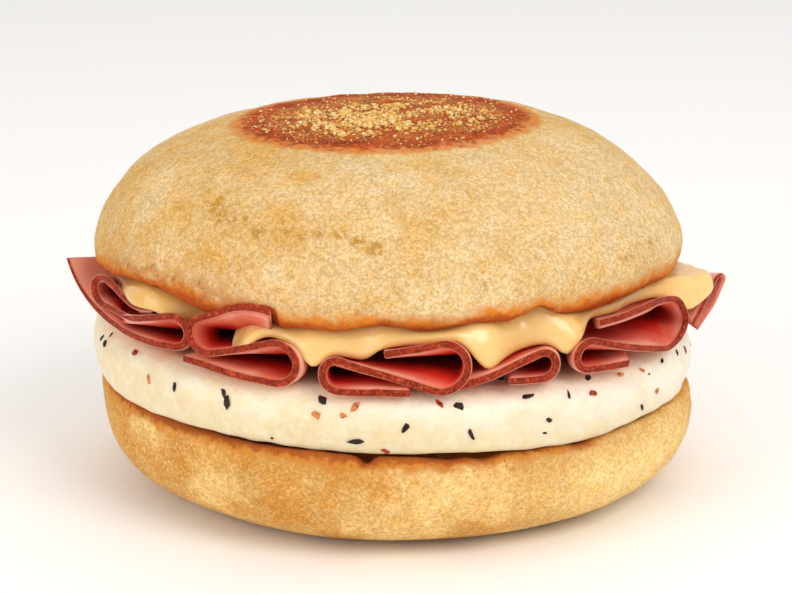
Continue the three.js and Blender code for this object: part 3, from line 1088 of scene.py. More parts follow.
@dataclass(frozen=True)
class HamCut:
    """Sizes that all slices of ham share, in millimetres."""

    thickness: float = 1.3
    rim_radius: float = 49.3
    round_reach: float = 42.0
    flap_reach: float = 53.4
    flap_half_width: float = 7.5
    flap_least: float = 5.0
    flap_slant: float = 1.55
    flat_turn: float = 0.95
    settle_depth: float = 13.5
    back_opening: float = 0.75
    flap_start: float = 44.0
    flap_recess: float = 3.0
    bed_height: float = EGG_BOTTOM + EGG_THICKNESS
    bed_gap: float = 0.3
    flap_fade: float = 4.0
    corner: float = 0.3
    arc_step: float = math.radians(7.0)
    run_step: float = 0.7

    def layer_height(self, x: float, layer: float) -> float:
        """Height of the middle of a flat layer above a place on the egg."""
        bed = self.bed_height + CUT_SLOPE * x + self.bed_gap
        return bed + self.thickness / 2 + layer * 2 * self.flat_turn

    def front(self, x: np.ndarray) -> np.ndarray:
        """Front edge of the ham in plan: round, with straight slants out to the two flaps.

        Args:
            x: Places to the right.

        Returns:
            The edge's y at each place.
        """
        reach = np.abs(x)
        circle = np.sqrt(np.maximum(self.rim_radius**2 - reach**2, 0))
        slant = self.flap_half_width + (self.flap_reach - reach) * self.flap_slant
        flap = np.maximum(np.maximum(circle, slant), self.flap_least)
        return -np.where(reach < self.round_reach, circle, flap)

    def laid_flat(self, turns: Sequence[Turn]) -> list[Turn]:
        """The turns of a slice as they lie inside the sandwich.

        Args:
            turns: The turns at the rim.

        Returns:
            One flat turn for each.
        """
        laid = []
        for i, turn in enumerate(turns):
            tight = turn.r > 0 and not turn.bend
            r = turn.loose or (self.flat_turn if tight else turn.r)
            outward = -1 if i > 0 and turn.x < turns[i - 1].x else 1
            shift = outward * (turn.r - r + turn.reach) if tight else 0.0
            x = turn.x + shift if turn.inner is None else turn.inner
            layer = turn.loose / self.flat_turn / 2 if turn.loose else turn.layer
            z = self.layer_height(x, layer) - turn.bend * turn.r if turn.inner_z is None else turn.inner_z
            start = turn.start if turn.start_inside is None else turn.start_inside
            laid.append(Turn(x, z, r, turn.way, layer, turn.bend, start, turn.stop))
        return laid


class Belt:
    """A line that runs round turns and straight between them."""

    def __init__(self, turns: Sequence[Turn]) -> None:
        """Works out the headings of the straight runs."""
        self.turns = list(turns)
        self.headings = [self._heading(a, b) for a, b in zip(self.turns, self.turns[1:])]

    @staticmethod
    def _heading(a: Turn, b: Turn) -> float:
        """Heading of the straight run between two turns.

        Args:
            a: The first.
            b: The second.

        Returns:
            The angle in radians.
        """
        dx, dz = b.x - a.x, b.z - a.z
        offset = b.r * b.way - a.r * a.way
        return math.atan2(dz, dx) - math.asin(clamp(offset / math.hypot(dx, dz), -1, 1))

    @staticmethod
    def _sweep(start: float, stop: float, way: int) -> float:
        """Angle on a circle from one place to another in the way the line runs."""
        angle = ((stop - start) * way) % math.tau
        return (angle - math.tau if angle > math.tau - 0.6 else angle) * way

    def _arc(self, i: int) -> tuple[float, float]:
        """Where the line meets a turn and how far it goes round.

        Args:
            i: Number of the turn.

        Returns:
            Both angles in radians.
        """
        turn = self.turns[i]
        side = turn.way * math.pi / 2
        arrive = self.headings[i - 1] - side if i > 0 else math.radians(turn.start)
        leave = self.headings[i] - side if i < len(self.headings) else math.radians(turn.stop)
        return arrive, self._sweep(arrive, leave, turn.way) if turn.r > 0 else 0.0

    def counts(self, arc_step: float, run_step: float) -> list[tuple[int, int]]:
        """Pieces of the run before each turn and of the turn's own arc.

        Args:
            arc_step: Angle of a piece of an arc.
            run_step: Length of a piece of a run.

        Returns:
            Both numbers for each turn.
        """
        made = []
        for i, turn in enumerate(self.turns):
            before = self.turns[max(i - 1, 0)]
            run = math.hypot(turn.x - before.x, turn.z - before.z)
            arc = abs(self._arc(i)[1])
            made.append((
                max(1, round(run / run_step)) if i > 0 else 0,
                max(1, round(arc / arc_step)) if turn.r > 0 else 0,
            ))
        return made

    def places(self, counts: Sequence[tuple[int, int]]) -> np.ndarray:
        """Places along the line, with the given number of pieces in each run and arc.

        Args:
            counts: Both numbers for each turn.

        Returns:
            Rows of x, z.
        """
        line: list[tuple[float, float]] = []
        for i, (turn, (run, arc)) in enumerate(zip(self.turns, counts)):
            arrive, angle = self._arc(i)
            meet = (turn.x + turn.r * math.cos(arrive), turn.z + turn.r * math.sin(arrive))
            if i > 0:
                last = line[-1]
                for k in range(1, run):
                    part = k / run
                    line.append((last[0] + (meet[0] - last[0]) * part, last[1] + (meet[1] - last[1]) * part))
            for k in range(arc + 1):
                at = arrive + (angle * k / arc if arc else 0.0)
                line.append((turn.x + turn.r * math.cos(at), turn.z + turn.r * math.sin(at)))
        return np.array(line)


@dataclass
class HamSlice:
    """A slice of ham: a ribbon of folds that runs through the sandwich from front to back."""

    name: str
    turns: tuple[Turn, ...]
    cut: HamCut
    seed: float
    thin_edges: tuple[float, float] = (0.0, 0.0)
    painted_shade_depth: float = 1.0
    rind_length: float = math.inf
    rim_depths: tuple[float, ...] = (
        0.0, 0.05, 0.13, 0.28, 0.6, 1.1, 1.7, 2.4, 3.2, 4.1, 5.2, 6.5, 8.0, 9.7, 11.5, 13.5,
    )
    middle_pieces: int = 6
    wall_pieces: int = 3
    unevenness: float = 0.22
    # Meat nearer to an edge than this is rind.
    rind_depth: float = 0.07
    depths: np.ndarray = field(init=False)
    middle: np.ndarray = field(init=False)

    def __post_init__(self) -> None:
        """Works out the middle surface, its columns along the folds and its rows along the depth."""
        self.middle, self.depths = self._middle_surface()

    def _lines(self) -> tuple[np.ndarray, np.ndarray]:
        """The fold line at the rim and the same line as it lies flat, with short end pieces.

        Returns:
            Both lines, with as many places.
        """
        rim, flat = Belt(self.turns), Belt(self.cut.laid_flat(self.turns))
        counts = rim.counts(self.cut.arc_step, self.cut.run_step)
        lines = rim.places(counts), flat.places(counts)
        last = len(lines[0]) - 1
        ends = np.array([0.0, 0.07, 0.19, 0.42])
        at = np.concatenate([ends, np.arange(1, last), last - ends[::-1]])
        steps = np.arange(last + 1)
        made = [np.stack([np.interp(at, steps, line[:, k]) for k in (0, 1)], 1) for line in lines]
        for axis, seed in ((0, 9.0), (1, 15.0)):
            made[0][:, axis] += self._wander(made[0], self.unevenness, 6.0, seed)
        return made[0], made[1]

    def _wander(self, line: np.ndarray, amount: float, length: float, seed: float) -> np.ndarray:
        """Slow random shifts along the slice, each wave about one length long."""
        run = np.concatenate([[0], np.cumsum(np.hypot(*np.diff(line, axis=0).T))])
        return np.array([amount * noise.noise(Vector((s / length, self.seed, seed))) for s in run])

    def _middle_surface(self) -> tuple[np.ndarray, np.ndarray]:
        """Places of the middle surface and the depth of each from the nearer rim.

        Returns:
            An array of columns by rows of x, y, z, and one of columns by rows of depths.
        """
        cut = self.cut
        rim, flat = self._lines()
        outside = np.clip((np.abs(rim[:, 0]) - cut.flap_start) / cut.flap_fade, 0, 1)
        opening = (cut.back_opening * (1 - outside))[:, None]
        back_line = flat + (rim - flat) * opening
        tuck = np.zeros(len(rim))
        for turn in self.turns:
            near = np.exp(-(((rim[:, 0] - turn.x - turn.r) / 3.5) ** 2))
            tuck = np.maximum(tuck, turn.tuck * near)
        wobble = self._wander(rim, 0.28, 5.0, 0.3) + self._wander(rim, 0.08, 1.4, 4.1)
        front = cut.front(rim[:, 0]) + tuck + wobble
        out = (np.abs(back_line[:, 0]) - cut.flap_start) / (cut.flap_reach - cut.flap_start)
        recess = cut.flap_recess * np.clip(out, 0, 1)
        back = np.maximum(-cut.front(back_line[:, 0]) - tuck - wobble - recess, front + 1.2)
        total = back - front
        squeeze = np.minimum(1, total / (2 * cut.settle_depth + 4))
        near_rim = np.array(self.rim_depths)[None, :] * squeeze[:, None]
        parts = np.linspace(0, 1, self.middle_pieces + 1)[None, 1:-1]
        inner = near_rim[:, -1:] + (total[:, None] - 2 * near_rim[:, -1:]) * parts
        depth = np.concatenate([near_rim, inner, (total[:, None] - near_rim)[:, ::-1]], 1)
        rest = total[:, None] - depth

        def open_by(away: np.ndarray, power: np.ndarray) -> np.ndarray:
            """How much of the open fold is left at a depth."""
            return np.maximum(1 - away / cut.settle_depth, 0) ** power

        place = []
        for axis, folded in ((0, 4.0), (1, 2.4)):
            power = (folded + (1.0 - folded) * outside)[:, None]
            lie = flat[:, axis, None]
            place.append(
                lie + (rim[:, axis, None] - lie) * open_by(depth, power)
                + (back_line[:, axis, None] - lie) * open_by(rest, power)
            )
        y = front[:, None] + depth
        return np.stack([place[0], y, place[1]], 2), np.minimum(depth, rest)

    def sides(self) -> tuple[np.ndarray, np.ndarray]:
        """Direction across the thickness at each place, and the distance along the folds.

        Returns:
            An array of columns by rows of unit x, z pairs, and one of distances from the first edge.
        """
        run = np.gradient(self.middle[:, :, [0, 2]], axis=0)
        length = np.maximum(np.hypot(run[:, :, 0], run[:, :, 1]), 1e-6)
        side = np.stack([run[:, :, 1] / length, -run[:, :, 0] / length], 2)
        steps = np.hypot(*np.moveaxis(np.diff(self.middle[:, :, [0, 2]], axis=0), 2, 0))
        return side, np.concatenate([np.zeros((1, steps.shape[1])), np.cumsum(steps, axis=0)])

    def hollow(self) -> np.ndarray:
        """Which way each column curls: 1 where the folds turn left along the slice, -1 to the right.

        Returns:
            A number for each column.
        """
        rim = self.middle[:, 0, [0, 2]]
        step = np.diff(rim, axis=0)
        run = np.concatenate([[0], np.cumsum(np.hypot(step[:, 0], step[:, 1]))])
        heading = np.unwrap(np.arctan2(step[:, 1], step[:, 0]))
        middle = (run[1:] + run[:-1]) / 2
        ahead, behind = np.interp(run + 4.0, middle, heading), np.interp(run - 4.0, middle, heading)
        return np.clip((ahead - behind) / 1.2, -1, 1)

    def half_thickness(self, edge: float, along: float, rest: float, place: Vector) -> float:
        """Half the thickness at a place.

        Args:
            edge: Distance from the nearest edge, where the corners are rounded.
            along: Distance from the slice's first edge.
            rest: Distance from its last edge.
            place: The place itself.

        Returns:
            Half the thickness.
        """
        cut = self.cut
        inward = clamp(edge / cut.corner)
        thin = self.thin_edges[0] * (1 - clamp(along / 15)) + self.thin_edges[1] * (1 - clamp(rest / 14))
        half = cut.thickness / 2 * (1 + 0.07 * lumps(place, 7.0, self.seed)) * (1 - thin)
        return half - min(cut.corner, half * 0.7) * (1 - math.sqrt(1 - (1 - inward) ** 2))

    def build(self) -> Mesh:
        """The slice as a closed mesh.

        Returns:
            The mesh, with the distance from its edge kept as "rim", the depth that sets its painted shade as
            "inside", the inner side of a fold, which gets more painted shade, as "hollow" and its rims as
            finish 1.
        """
        columns, rows = self.middle.shape[0] - 1, self.middle.shape[1] - 1
        side, along = self.sides()
        cut = self.cut
        bm = block((columns, rows, self.wall_pieces))
        inside = bm.verts.layers.float.new("inside")
        hollow = bm.verts.layers.float.new("hollow")
        rim = bm.verts.layers.float.new("rim")
        curl = self.hollow()
        run = []
        for vert in bm.verts:
            i, j = round(vert.co.x * columns), round(vert.co.y * rows)
            across = vert.co.z * 2 - 1
            middle = Vector(self.middle[i, j])
            rest = along[-1, j] - along[i, j]
            edge = min(self.depths[i, j], along[i, j], rest)
            half = self.half_thickness(edge, along[i, j], rest, middle) * across
            swell = 0.07 * (1 - across**2)
            flap = clamp((abs(middle.x) - cut.flap_start) / cut.flap_fade)
            run.append(along[i, j])
            vert[inside] = vert[rim] = edge
            # The inner side of a fold, kept for painted shade, none on the flaps.
            vert[hollow] = clamp(0.5 - 0.5 * float(curl[i]) * across) * (1 - flap)
            push = -swell if j == 0 else swell if j == rows else 0.0
            vert.co = middle + Vector((side[i, j, 0] * half, push, side[i, j, 1] * half))
        bmesh.ops.recalc_face_normals(bm, faces=bm.faces)
        bm.verts.index_update()
        for face in bm.faces:
            at_rim = all(v[inside] < self.rind_depth and run[v.index] <= self.rind_length for v in face.verts)
            face.material_index = 1 if at_rim and abs(face.normal.y) > 0.35 else 0
        # Painted shade: much less of it on the flaps outside the muffin.
        for vert in bm.verts:
            flap = clamp((abs(vert.co.x) - cut.flap_start) / cut.flap_fade)
            vert[inside] *= self.painted_shade_depth * (1 - 0.93 * flap)
        return bm

    def samples(self, step: float) -> np.ndarray:
        """Places all over both faces of the slice, close enough together to leave no hole.

        Args:
            step: Longest gap between two places.

        Returns:
            Rows of x, y, z.
        """
        side, _ = self.sides()
        half = self.cut.thickness / 2
        faces = []
        for way in (-1, 1):
            shell = self.middle.copy()
            shell[:, :, 0] += side[:, :, 0] * half * way
            shell[:, :, 2] += side[:, :, 1] * half * way
            faces.append(self._spread(shell, step))
        return np.concatenate(faces)

    @staticmethod
    def _spread(shell: np.ndarray, step: float) -> np.ndarray:
        """Fills in places between the columns and rows of a surface.

        Args:
            shell: Columns by rows of places.
            step: Longest gap between two places.

        Returns:
            Rows of x, y, z.
        """
        for axis in (0, 1):
            gaps = np.linalg.norm(np.diff(shell, axis=axis), axis=2).max(axis=1 - axis)
            counts = [max(1, math.ceil(gap / step)) for gap in gaps]
            at = [np.linspace(k, k + 1, count, endpoint=False) for k, count in enumerate(counts)]
            at = np.concatenate([*at, [len(gaps)]])
            low = np.minimum(at.astype(int), len(gaps) - 1)
            part = at - low
            shape = [1, 1, 1]
            shape[axis] = len(at)
            part = part.reshape(shape)
            shell = np.take(shell, low, axis) * (1 - part) + np.take(shell, low + 1, axis) * part
        return shell.reshape(-1, 3)


class HamStack:
    """The six slices of ham on the egg."""

    def __init__(self, cut: HamCut) -> None:
        """Works out every slice.

        Args:
            cut: Sizes that the slices share.
        """
        self.cut = cut
        self.slices = [
            HamSlice(name, turns, cut, seed=3.7 * (k + 1), thin_edges=THIN_EDGES.get(name, (0.0, 0.0)),
                     painted_shade_depth=PAINTED_SHADE_DEPTH.get(name, 1.0), rind_length=RIND_LENGTH.get(name, math.inf))
            for k, (name, turns) in enumerate(SLICES.items())
        ]

    def dress(self, face: bpy.types.Material, rind: bpy.types.Material) -> None:
        """Makes each slice a piece that stands for its CAD node."""
        for piece in self.slices:
            finish_piece(piece.build(), "folded_" + piece.name, (face, rind), "ham", (piece.name,))


# ---- filling heights


class HeightField:
    """Heights on an even grid in plan, in millimetres."""

    reach = 56.0
    step = 0.5

    def __init__(self, grid: np.ndarray) -> None:
        """Takes the heights, rows along y and columns along x."""
        self.grid = grid

    @classmethod
    def axis(cls) -> np.ndarray:
        """Places of the grid lines."""
        return np.arange(-cls.reach, cls.reach + cls.step / 2, cls.step)

    @classmethod
    def over(cls, places: np.ndarray, base: np.ndarray) -> "HeightField":
        """The highest of many places in each cell, on a base.

        Args:
            places: Rows of x, y, z.
            base: Heights with nothing on them.

        Returns:
            The heights.
        """
        grid = base.copy()
        at = np.rint((places[:, :2] + cls.reach) / cls.step).astype(int)
        at = np.clip(at, 0, grid.shape[0] - 1)
        np.maximum.at(grid, (at[:, 1], at[:, 0]), places[:, 2])
        return cls(grid)

    def draped(self, sag: float, reach: float, axis: int) -> "HeightField":
        """A sheet that hangs over the heights in parabolas along one axis.

        Args:
            sag: Drop at 1 mm from a support; it grows with the square.
            reach: How far a support carries.
            axis: 0 along y, 1 along x.

        Returns:
            The sheet's heights.
        """
        cells = round(reach / self.step)
        best = self.grid.copy()
        for k in range(-cells, cells + 1):
            best = np.maximum(best, np.roll(self.grid, k, axis=axis) - sag * (k * self.step) ** 2)
        return HeightField(best)

    def smoothed(self, passes: int) -> "HeightField":
        """The heights with their corners rubbed off.

        Args:
            passes: How often they are rubbed.

        Returns:
            The smooth heights.
        """
        grid = self.grid
        for _ in range(passes):
            for axis in (0, 1):
                grid = (np.roll(grid, 1, axis) + 2 * grid + np.roll(grid, -1, axis)) / 4
        return HeightField(grid)

    def raised(self, amount: float) -> "HeightField":
        """The heights moved up."""
        return HeightField(self.grid + amount)

    def at(self, x: float, y: float) -> float:
        """Height at a place, worked out between the grid lines.

        Args:
            x: Place to the right.
            y: Place to the back.

        Returns:
            The height.
        """
        last = self.grid.shape[0] - 2
        u = clamp((x + self.reach) / self.step, 0, last)
        v = clamp((y + self.reach) / self.step, 0, last)
        i, j = int(u), int(v)
        du, dv = u - i, v - j
        g = self.grid
        near = g[j, i] * (1 - du) + g[j, i + 1] * du
        far = g[j + 1, i] * (1 - du) + g[j + 1, i + 1] * du
        return float(near * (1 - dv) + far * dv)


# ---- cheese


@dataclass
class CheeseSlice:
    """A slice of cheese melted over the ham: it wells up to the muffin and runs down between folds."""

    bed: HeightField
    muffin_edge: "LowerEdge"
    thickness: float = 1.5
    rim_radius: float = 46.4
    well_width: float = 3.0
    # Places along the rim where standing folds hold it back: x, half width and amount.
    held: tuple[tuple[float, float, float], ...] = (
        (-28.7, 3.0, 8.5), (39.5, 4.0, 3.0), (20.4, 3.4, 2.2), (32.5, 3.2, 2.6),
    )
    # Places where it runs out further, in the same way.
    tongues: tuple[tuple[float, float, float], ...] = (
        (-37.0, 5.2, 4.2), (-22.4, 3.0, 3.0), (-12.6, 2.6, 1.4), (13.4, 3.0, 1.6), (26.4, 2.4, 1.6),
    )
    corner_reach: float = 6.7
    corner_angle: float = math.radians(-12.2)
    # Drips that run down between two folds in front: x, half width and depth.
    drips: tuple[tuple[float, float, float], ...] = (
        (-26.5, 4.2, 2.0), (-13.3, 2.7, 1.7), (-2.6, 1.6, 0.5), (11.6, 1.5, 1.1), (13.8, 1.7, 0.6),
        (26.2, 1.9, 1.4),
    )
    # Where the cheese lies thin and free of the muffin in front: x and half width.
    free: tuple[float, float] = (-24.6, 3.0)
    smoothings: int = 3
    steps: int = 420
    seed: float = 5.3

    def rim(self, angle: float) -> float:
        """Radius of the rim: held back at standing folds, with a corner hanging out at the right.

        Args:
            angle: Direction in plan, 0 to the right.

        Returns:
            The radius.
        """
        x = math.cos(angle) * self.rim_radius
        corner = self.corner_reach * bump(angle, self.corner_angle, math.radians(8.0))
        side = 1.0 if math.sin(angle) < 0 else 0.7
        return self.rim_radius + (bumps(x, self.tongues) - bumps(x, self.held)) * side + corner

    def build(self) -> Mesh:
        """The draped slice as a closed mesh.

        Returns:
            The mesh.
        """
        half = self.thickness / 2
        body = self.rim_radius - half
        radii = [0.0, 12.0, 24.0, 30.0, 33.0, *np.arange(35.0, 41.0, 0.8), *np.arange(41.0, body, 0.42)]
        outline = [(r, -half) for r in radii]
        outline += [
            (body + half * math.cos(a), half * math.sin(a)) for a in np.linspace(-math.pi / 2, math.pi / 2, 9)
        ]
        outline += [(r, half) for r in reversed(radii)]
        bm = turned(outline, self.steps)
        reshape(bm, self._drape)
        outer = [v for v in bm.verts if math.hypot(v.co.x, v.co.y) > 34]
        every_axis = {"use_axis_x": True, "use_axis_y": True, "use_axis_z": True}
        for _ in range(self.smoothings):
            bmesh.ops.smooth_vert(bm, verts=outer, factor=0.5, **every_axis)
        return bm

    def _drape(self, v: Vector) -> Vector:
        """Lays a place of the flat slice on its bed, welling up where the muffin's edge presses.

        Args:
            v: A place of the flat slice.

        Returns:
            Where it lies.
        """
        angle = math.atan2(v.y, v.x)
        rim = self.rim(angle)
        radius = math.hypot(v.x, v.y) * rim / self.rim_radius
        x, y = radius * math.cos(angle), radius * math.sin(angle)
        thick = self.thickness * (1 + 0.15 * lumps(Vector((x, y, 0)), 6.0, self.seed))
        low = self.bed.at(x, y) - 0.06 * max(radius - 46.5, 0) ** 2
        free = bump(x, *self.free) if y < 0 else 0.0
        thick *= 1 - 0.5 * free
        low -= 1.3 * free * clamp((radius - 36) / 6)
        if y < 0:
            low += 2.2 * bump(x, -40.5, 6.0) * clamp((radius - 46.8) / 2.6) ** 1.5
            low += 1.0 * bump(angle, math.radians(-11.5), math.radians(6)) * clamp((radius - 47) / 4)
            low -= bumps(x, self.drips) * clamp((radius - 44.0) / 3)
        inward = clamp((rim - radius) / self.well_width)
        swell = (1 - (1 - inward) ** 2.2) * clamp((radius - 28) / 8)
        seat = self.muffin_edge.at(x, y) - 0.15
        welled = max(seat - low - thick, 0) * swell * (1 - free)
        part = v.z / self.thickness + 0.5
        return Vector((x, y, low + (thick + welled) * part))

    def dress(self, material: bpy.types.Material) -> None:
        """Makes the slice a piece."""
        finish_piece(self.build(), "cheese_slice", (material,), "cheese", ("cheese",))


# ---- egg


@dataclass
class EggPatty:
    """Round patty with soft sides that lies along the cut."""

    bottom: float = EGG_BOTTOM
    thickness: float = EGG_THICKNESS
    side: tuple[tuple[float, float], ...] = (
        (46.8, 0.0), (48.7, 0.8), (49.4, 2.8), (49.4, 6.0), (48.3, 8.2), (45.8, 9.6),
    )
    centre: float = -0.5
    steps: int = 400
    seed: float = 9.1
    tree: BVHTree | None = None

    def build(self) -> Mesh:
        """The patty as a closed mesh, with how low each place is kept as "low".

        Returns:
            The mesh.
        """
        outline = [(0.0, 0.0), (24.0, 0.0), (40.0, 0.0)]
        outline += smooth_line([(42.0, 0.0), *self.side, (42.5, self.thickness)], 0.6)
        outline += [(40.0, self.thickness), (24.0, self.thickness), (0.0, self.thickness)]
        bm = turned(outline, self.steps)
        paint(bm, spots_of(bm), "low", lambda spot: 1 - spot.height / self.thickness)
        reshape(bm, self._shape)
        self.tree = BVHTree.FromBMesh(bm)
        return bm

    def _shape(self, v: Vector) -> Vector:
        """Moves a place of the turned body to where it lies in the uneven patty.

        Args:
            v: A place of the turned body.

        Returns:
            Where it lies.
        """
        angle = math.atan2(v.y, v.x)
        radius = math.hypot(v.x, v.y)
        swell = 1 + 0.004 * math.sin(5 * angle + 1) + 0.003 * math.sin(11 * angle)
        swell += uneven(v, self.seed, ((0.45, 9.0), (0.16, 3.2))) / 49
        left = 0.5 * bump(angle, math.pi, 0.7) + 0.5 * bump(angle, -math.pi, 0.7)
        x = v.x * swell + self.centre - left * (radius / 49.3) ** 4
        y = v.y * swell
        hang = bump(v.z, 0, 2.5) * bump(radius, 46, 4)
        low = hang * (0.25 * (1 + math.sin(8 * angle)) + 0.35 * lumps(v, 3.5, self.seed + 2))
        return Vector((x, y, v.z + self.bottom + CUT_SLOPE * x + low))

    def dress(self, material: bpy.types.Material) -> None:
        """Makes the patty a piece."""
        finish_piece(self.build(), "egg_patty", (material,), "egg", ("egg",))


# ---- muffin


@dataclass(frozen=True)
class Dent:
    """A shallow dent in the muffin's skin: its place round from the front, height and sizes."""

    angle: float
    height: float
    width: float
    tall: float
    depth: float


@dataclass
class MuffinHeel:
    """Lower muffin half: fuller towards its foot on the right, with a torn upper edge."""

    height: float = 17.0
    side: tuple[tuple[float, float], ...] = (
        (36.0, 0.0), (41.0, 1.6), (45.9, 4.6), (48.5, 8.8), (49.3, 12.8), (49.2, 15.4), (48.6, 17.1),
        (47.4, 17.7),
    )
    # Radius within which the cut shows crumb.
    cut_radius: float = 44.3
    centre_foot: float = 0.7
    centre_cut: float = -0.3
    steps: int = 420
    seed: float = 14.2
    # Hollows under the egg: degrees round from the front, half width in degrees, depth.
    nooks: tuple[tuple[float, float, float], ...] = (
        (-4.9, 1.4, 1.3), (10.5, 4.0, 0.5), (16.5, 2.6, 0.7), (36.5, 3.0, 0.35), (-52.0, 2.6, 0.3),
        (95.0, 4.0, 1.4), (148.0, 5.0, 1.7), (-110.0, 3.5, 1.5), (-160.0, 3.0, 1.2),
    )

    def build(self) -> Mesh:
        """The half as a closed mesh with the numbers its finish reads.

        Returns:
            The mesh.
        """
        outline = [(0.0, 0.0), (16.0, 0.0), (28.0, 0.0)]
        outline += smooth_line([(33.0, 0.0), *self.side, (45.6, self.height), (42.0, self.height)], 0.5)
        outline += [(38.0, self.height), (24.0, self.height), (0.0, self.height)]
        bm = turned(outline, self.steps)
        spots = spots_of(bm)
        paint(bm, spots, "edge", self._below_edge)
        paint(bm, spots, "face", lambda spot: spot.radius - 37.0 + 3.0 * spot.height)
        paint(bm, spots, "toast", self._toast)
        # Painted light: the right side, towards the key light, is painted paler.
        paint(bm, spots, "pale", lambda spot: 0.95 * bump(spot.degrees, 52, 30) * bump(spot.height, 10, 8.5))
        # Painted shade in the hollows just under the egg.
        paint(bm, spots, "nook", lambda spot: 0.85 * self._nook(spot) * bump(spot.height, 17.6, 0.9))
        for vert, spot in zip(bm.verts, spots):
            vert.co = self._shape(vert.co.copy(), spot)
        cut = [spot.height > self.height - 0.05 and spot.radius < self.cut_radius for spot in spots]
        for face in bm.faces:
            face.material_index = 1 if all(cut[v.index] for v in face.verts) else 0
        return bm

    def _below_edge(self, spot: Spot) -> float:
        """Depth below the upper edge, less of it at the right, where the lit side is painted pale."""
        return self.height + 0.3 - spot.height + 2.6 * bump(spot.degrees, 55, 27)

    def _toast(self, spot: Spot) -> float:
        """How much darker the upper edge is baked at a place."""
        return 0.5 * bump(spot.height, self.height, 3.5) * (0.7 + 0.5 * math.sin(spot.angle * 3 + 1))

    def _nook(self, spot: Spot) -> float:
        """How deep in a hollow a direction is, from 0 to 1."""
        return max(min(1.0, 1.4 * bump(spot.degrees, at, width)) for at, width, _ in self.nooks)

    def _shape(self, v: Vector, spot: Spot) -> Vector:
        """Moves a place of the turned body to where it lies in the uneven half.

        Args:
            v: A place of the turned body.
            spot: The same place, round the axis.

        Returns:
            Where it lies.
        """
        turn = math.atan2(v.y, v.x)
        part = v.z / self.height
        radius = math.hypot(v.x, v.y)
        swell = 1 + 0.006 * math.sin(3 * turn + 0.6) + 0.004 * math.sin(7 * turn + 2)
        skin = uneven(v, self.seed, ((0.55, 13.0), (0.28, 5.0), (0.1, 1.8)))
        out = clamp(v.z / 4) * skin
        rim = bump(radius, 46.5, 3.5) * part**6
        nook = max(depth * bump(spot.degrees, at, width) for at, width, depth in self.nooks)
        ragged = 0.05 * (1 + math.sin(9 * turn + 1)) + 0.13 * (1 + lumps(v, 2.6, self.seed + 5))
        out -= nook * bump(v.z, self.height, 1.8) * bump(radius, 48, 3) * 0.9
        x = v.x * swell * (1 + out / 49) + self.centre_foot * (1 - part) + self.centre_cut * part
        y = v.y * swell * (1 + out / 49)
        z = v.z + CUT_SLOPE * x * part - rim * (ragged + nook)
        return Vector((x, y, z))

    def dress(self, skin: bpy.types.Material, crumb: bpy.types.Material) -> None:
        """Makes the half a piece."""
        finish_piece(self.build(), "muffin_heel_half", (skin, crumb), "muffin", ("muffin_heel",))


@dataclass(frozen=True)
class LowerEdge:
    """Height of the lower edge of the upper half: wavy, with a notch at the front right."""

    height: float = 36.4
    # Places where the edge bows up in front: x, half width and height of the bow.
    bows: tuple[tuple[float, float, float], ...] = (
        (-38.0, 7.0, 2.9), (-1.6, 4.0, 1.0), (12.0, 4.5, 1.0), (20.4, 4.0, 1.0), (21.6, 2.0, 1.5),
        (40.0, 5.0, 0.4),
    )

    def at(self, x: float, y: float) -> float:
        """Height of the edge in the direction of a place.

        Args:
            x: Place to the right.
            y: Place to the back.

        Returns:
            The height.
        """
        turn = math.atan2(y, x)
        front = clamp(-y / 12)
        ripple = 0.35 * math.sin(7 * turn + 0.5) + 0.25 * math.sin(12 * turn + 1.4)
        return self.height + front * (bumps(x, self.bows) + 0.3 * ripple) + (1 - front) * ripple


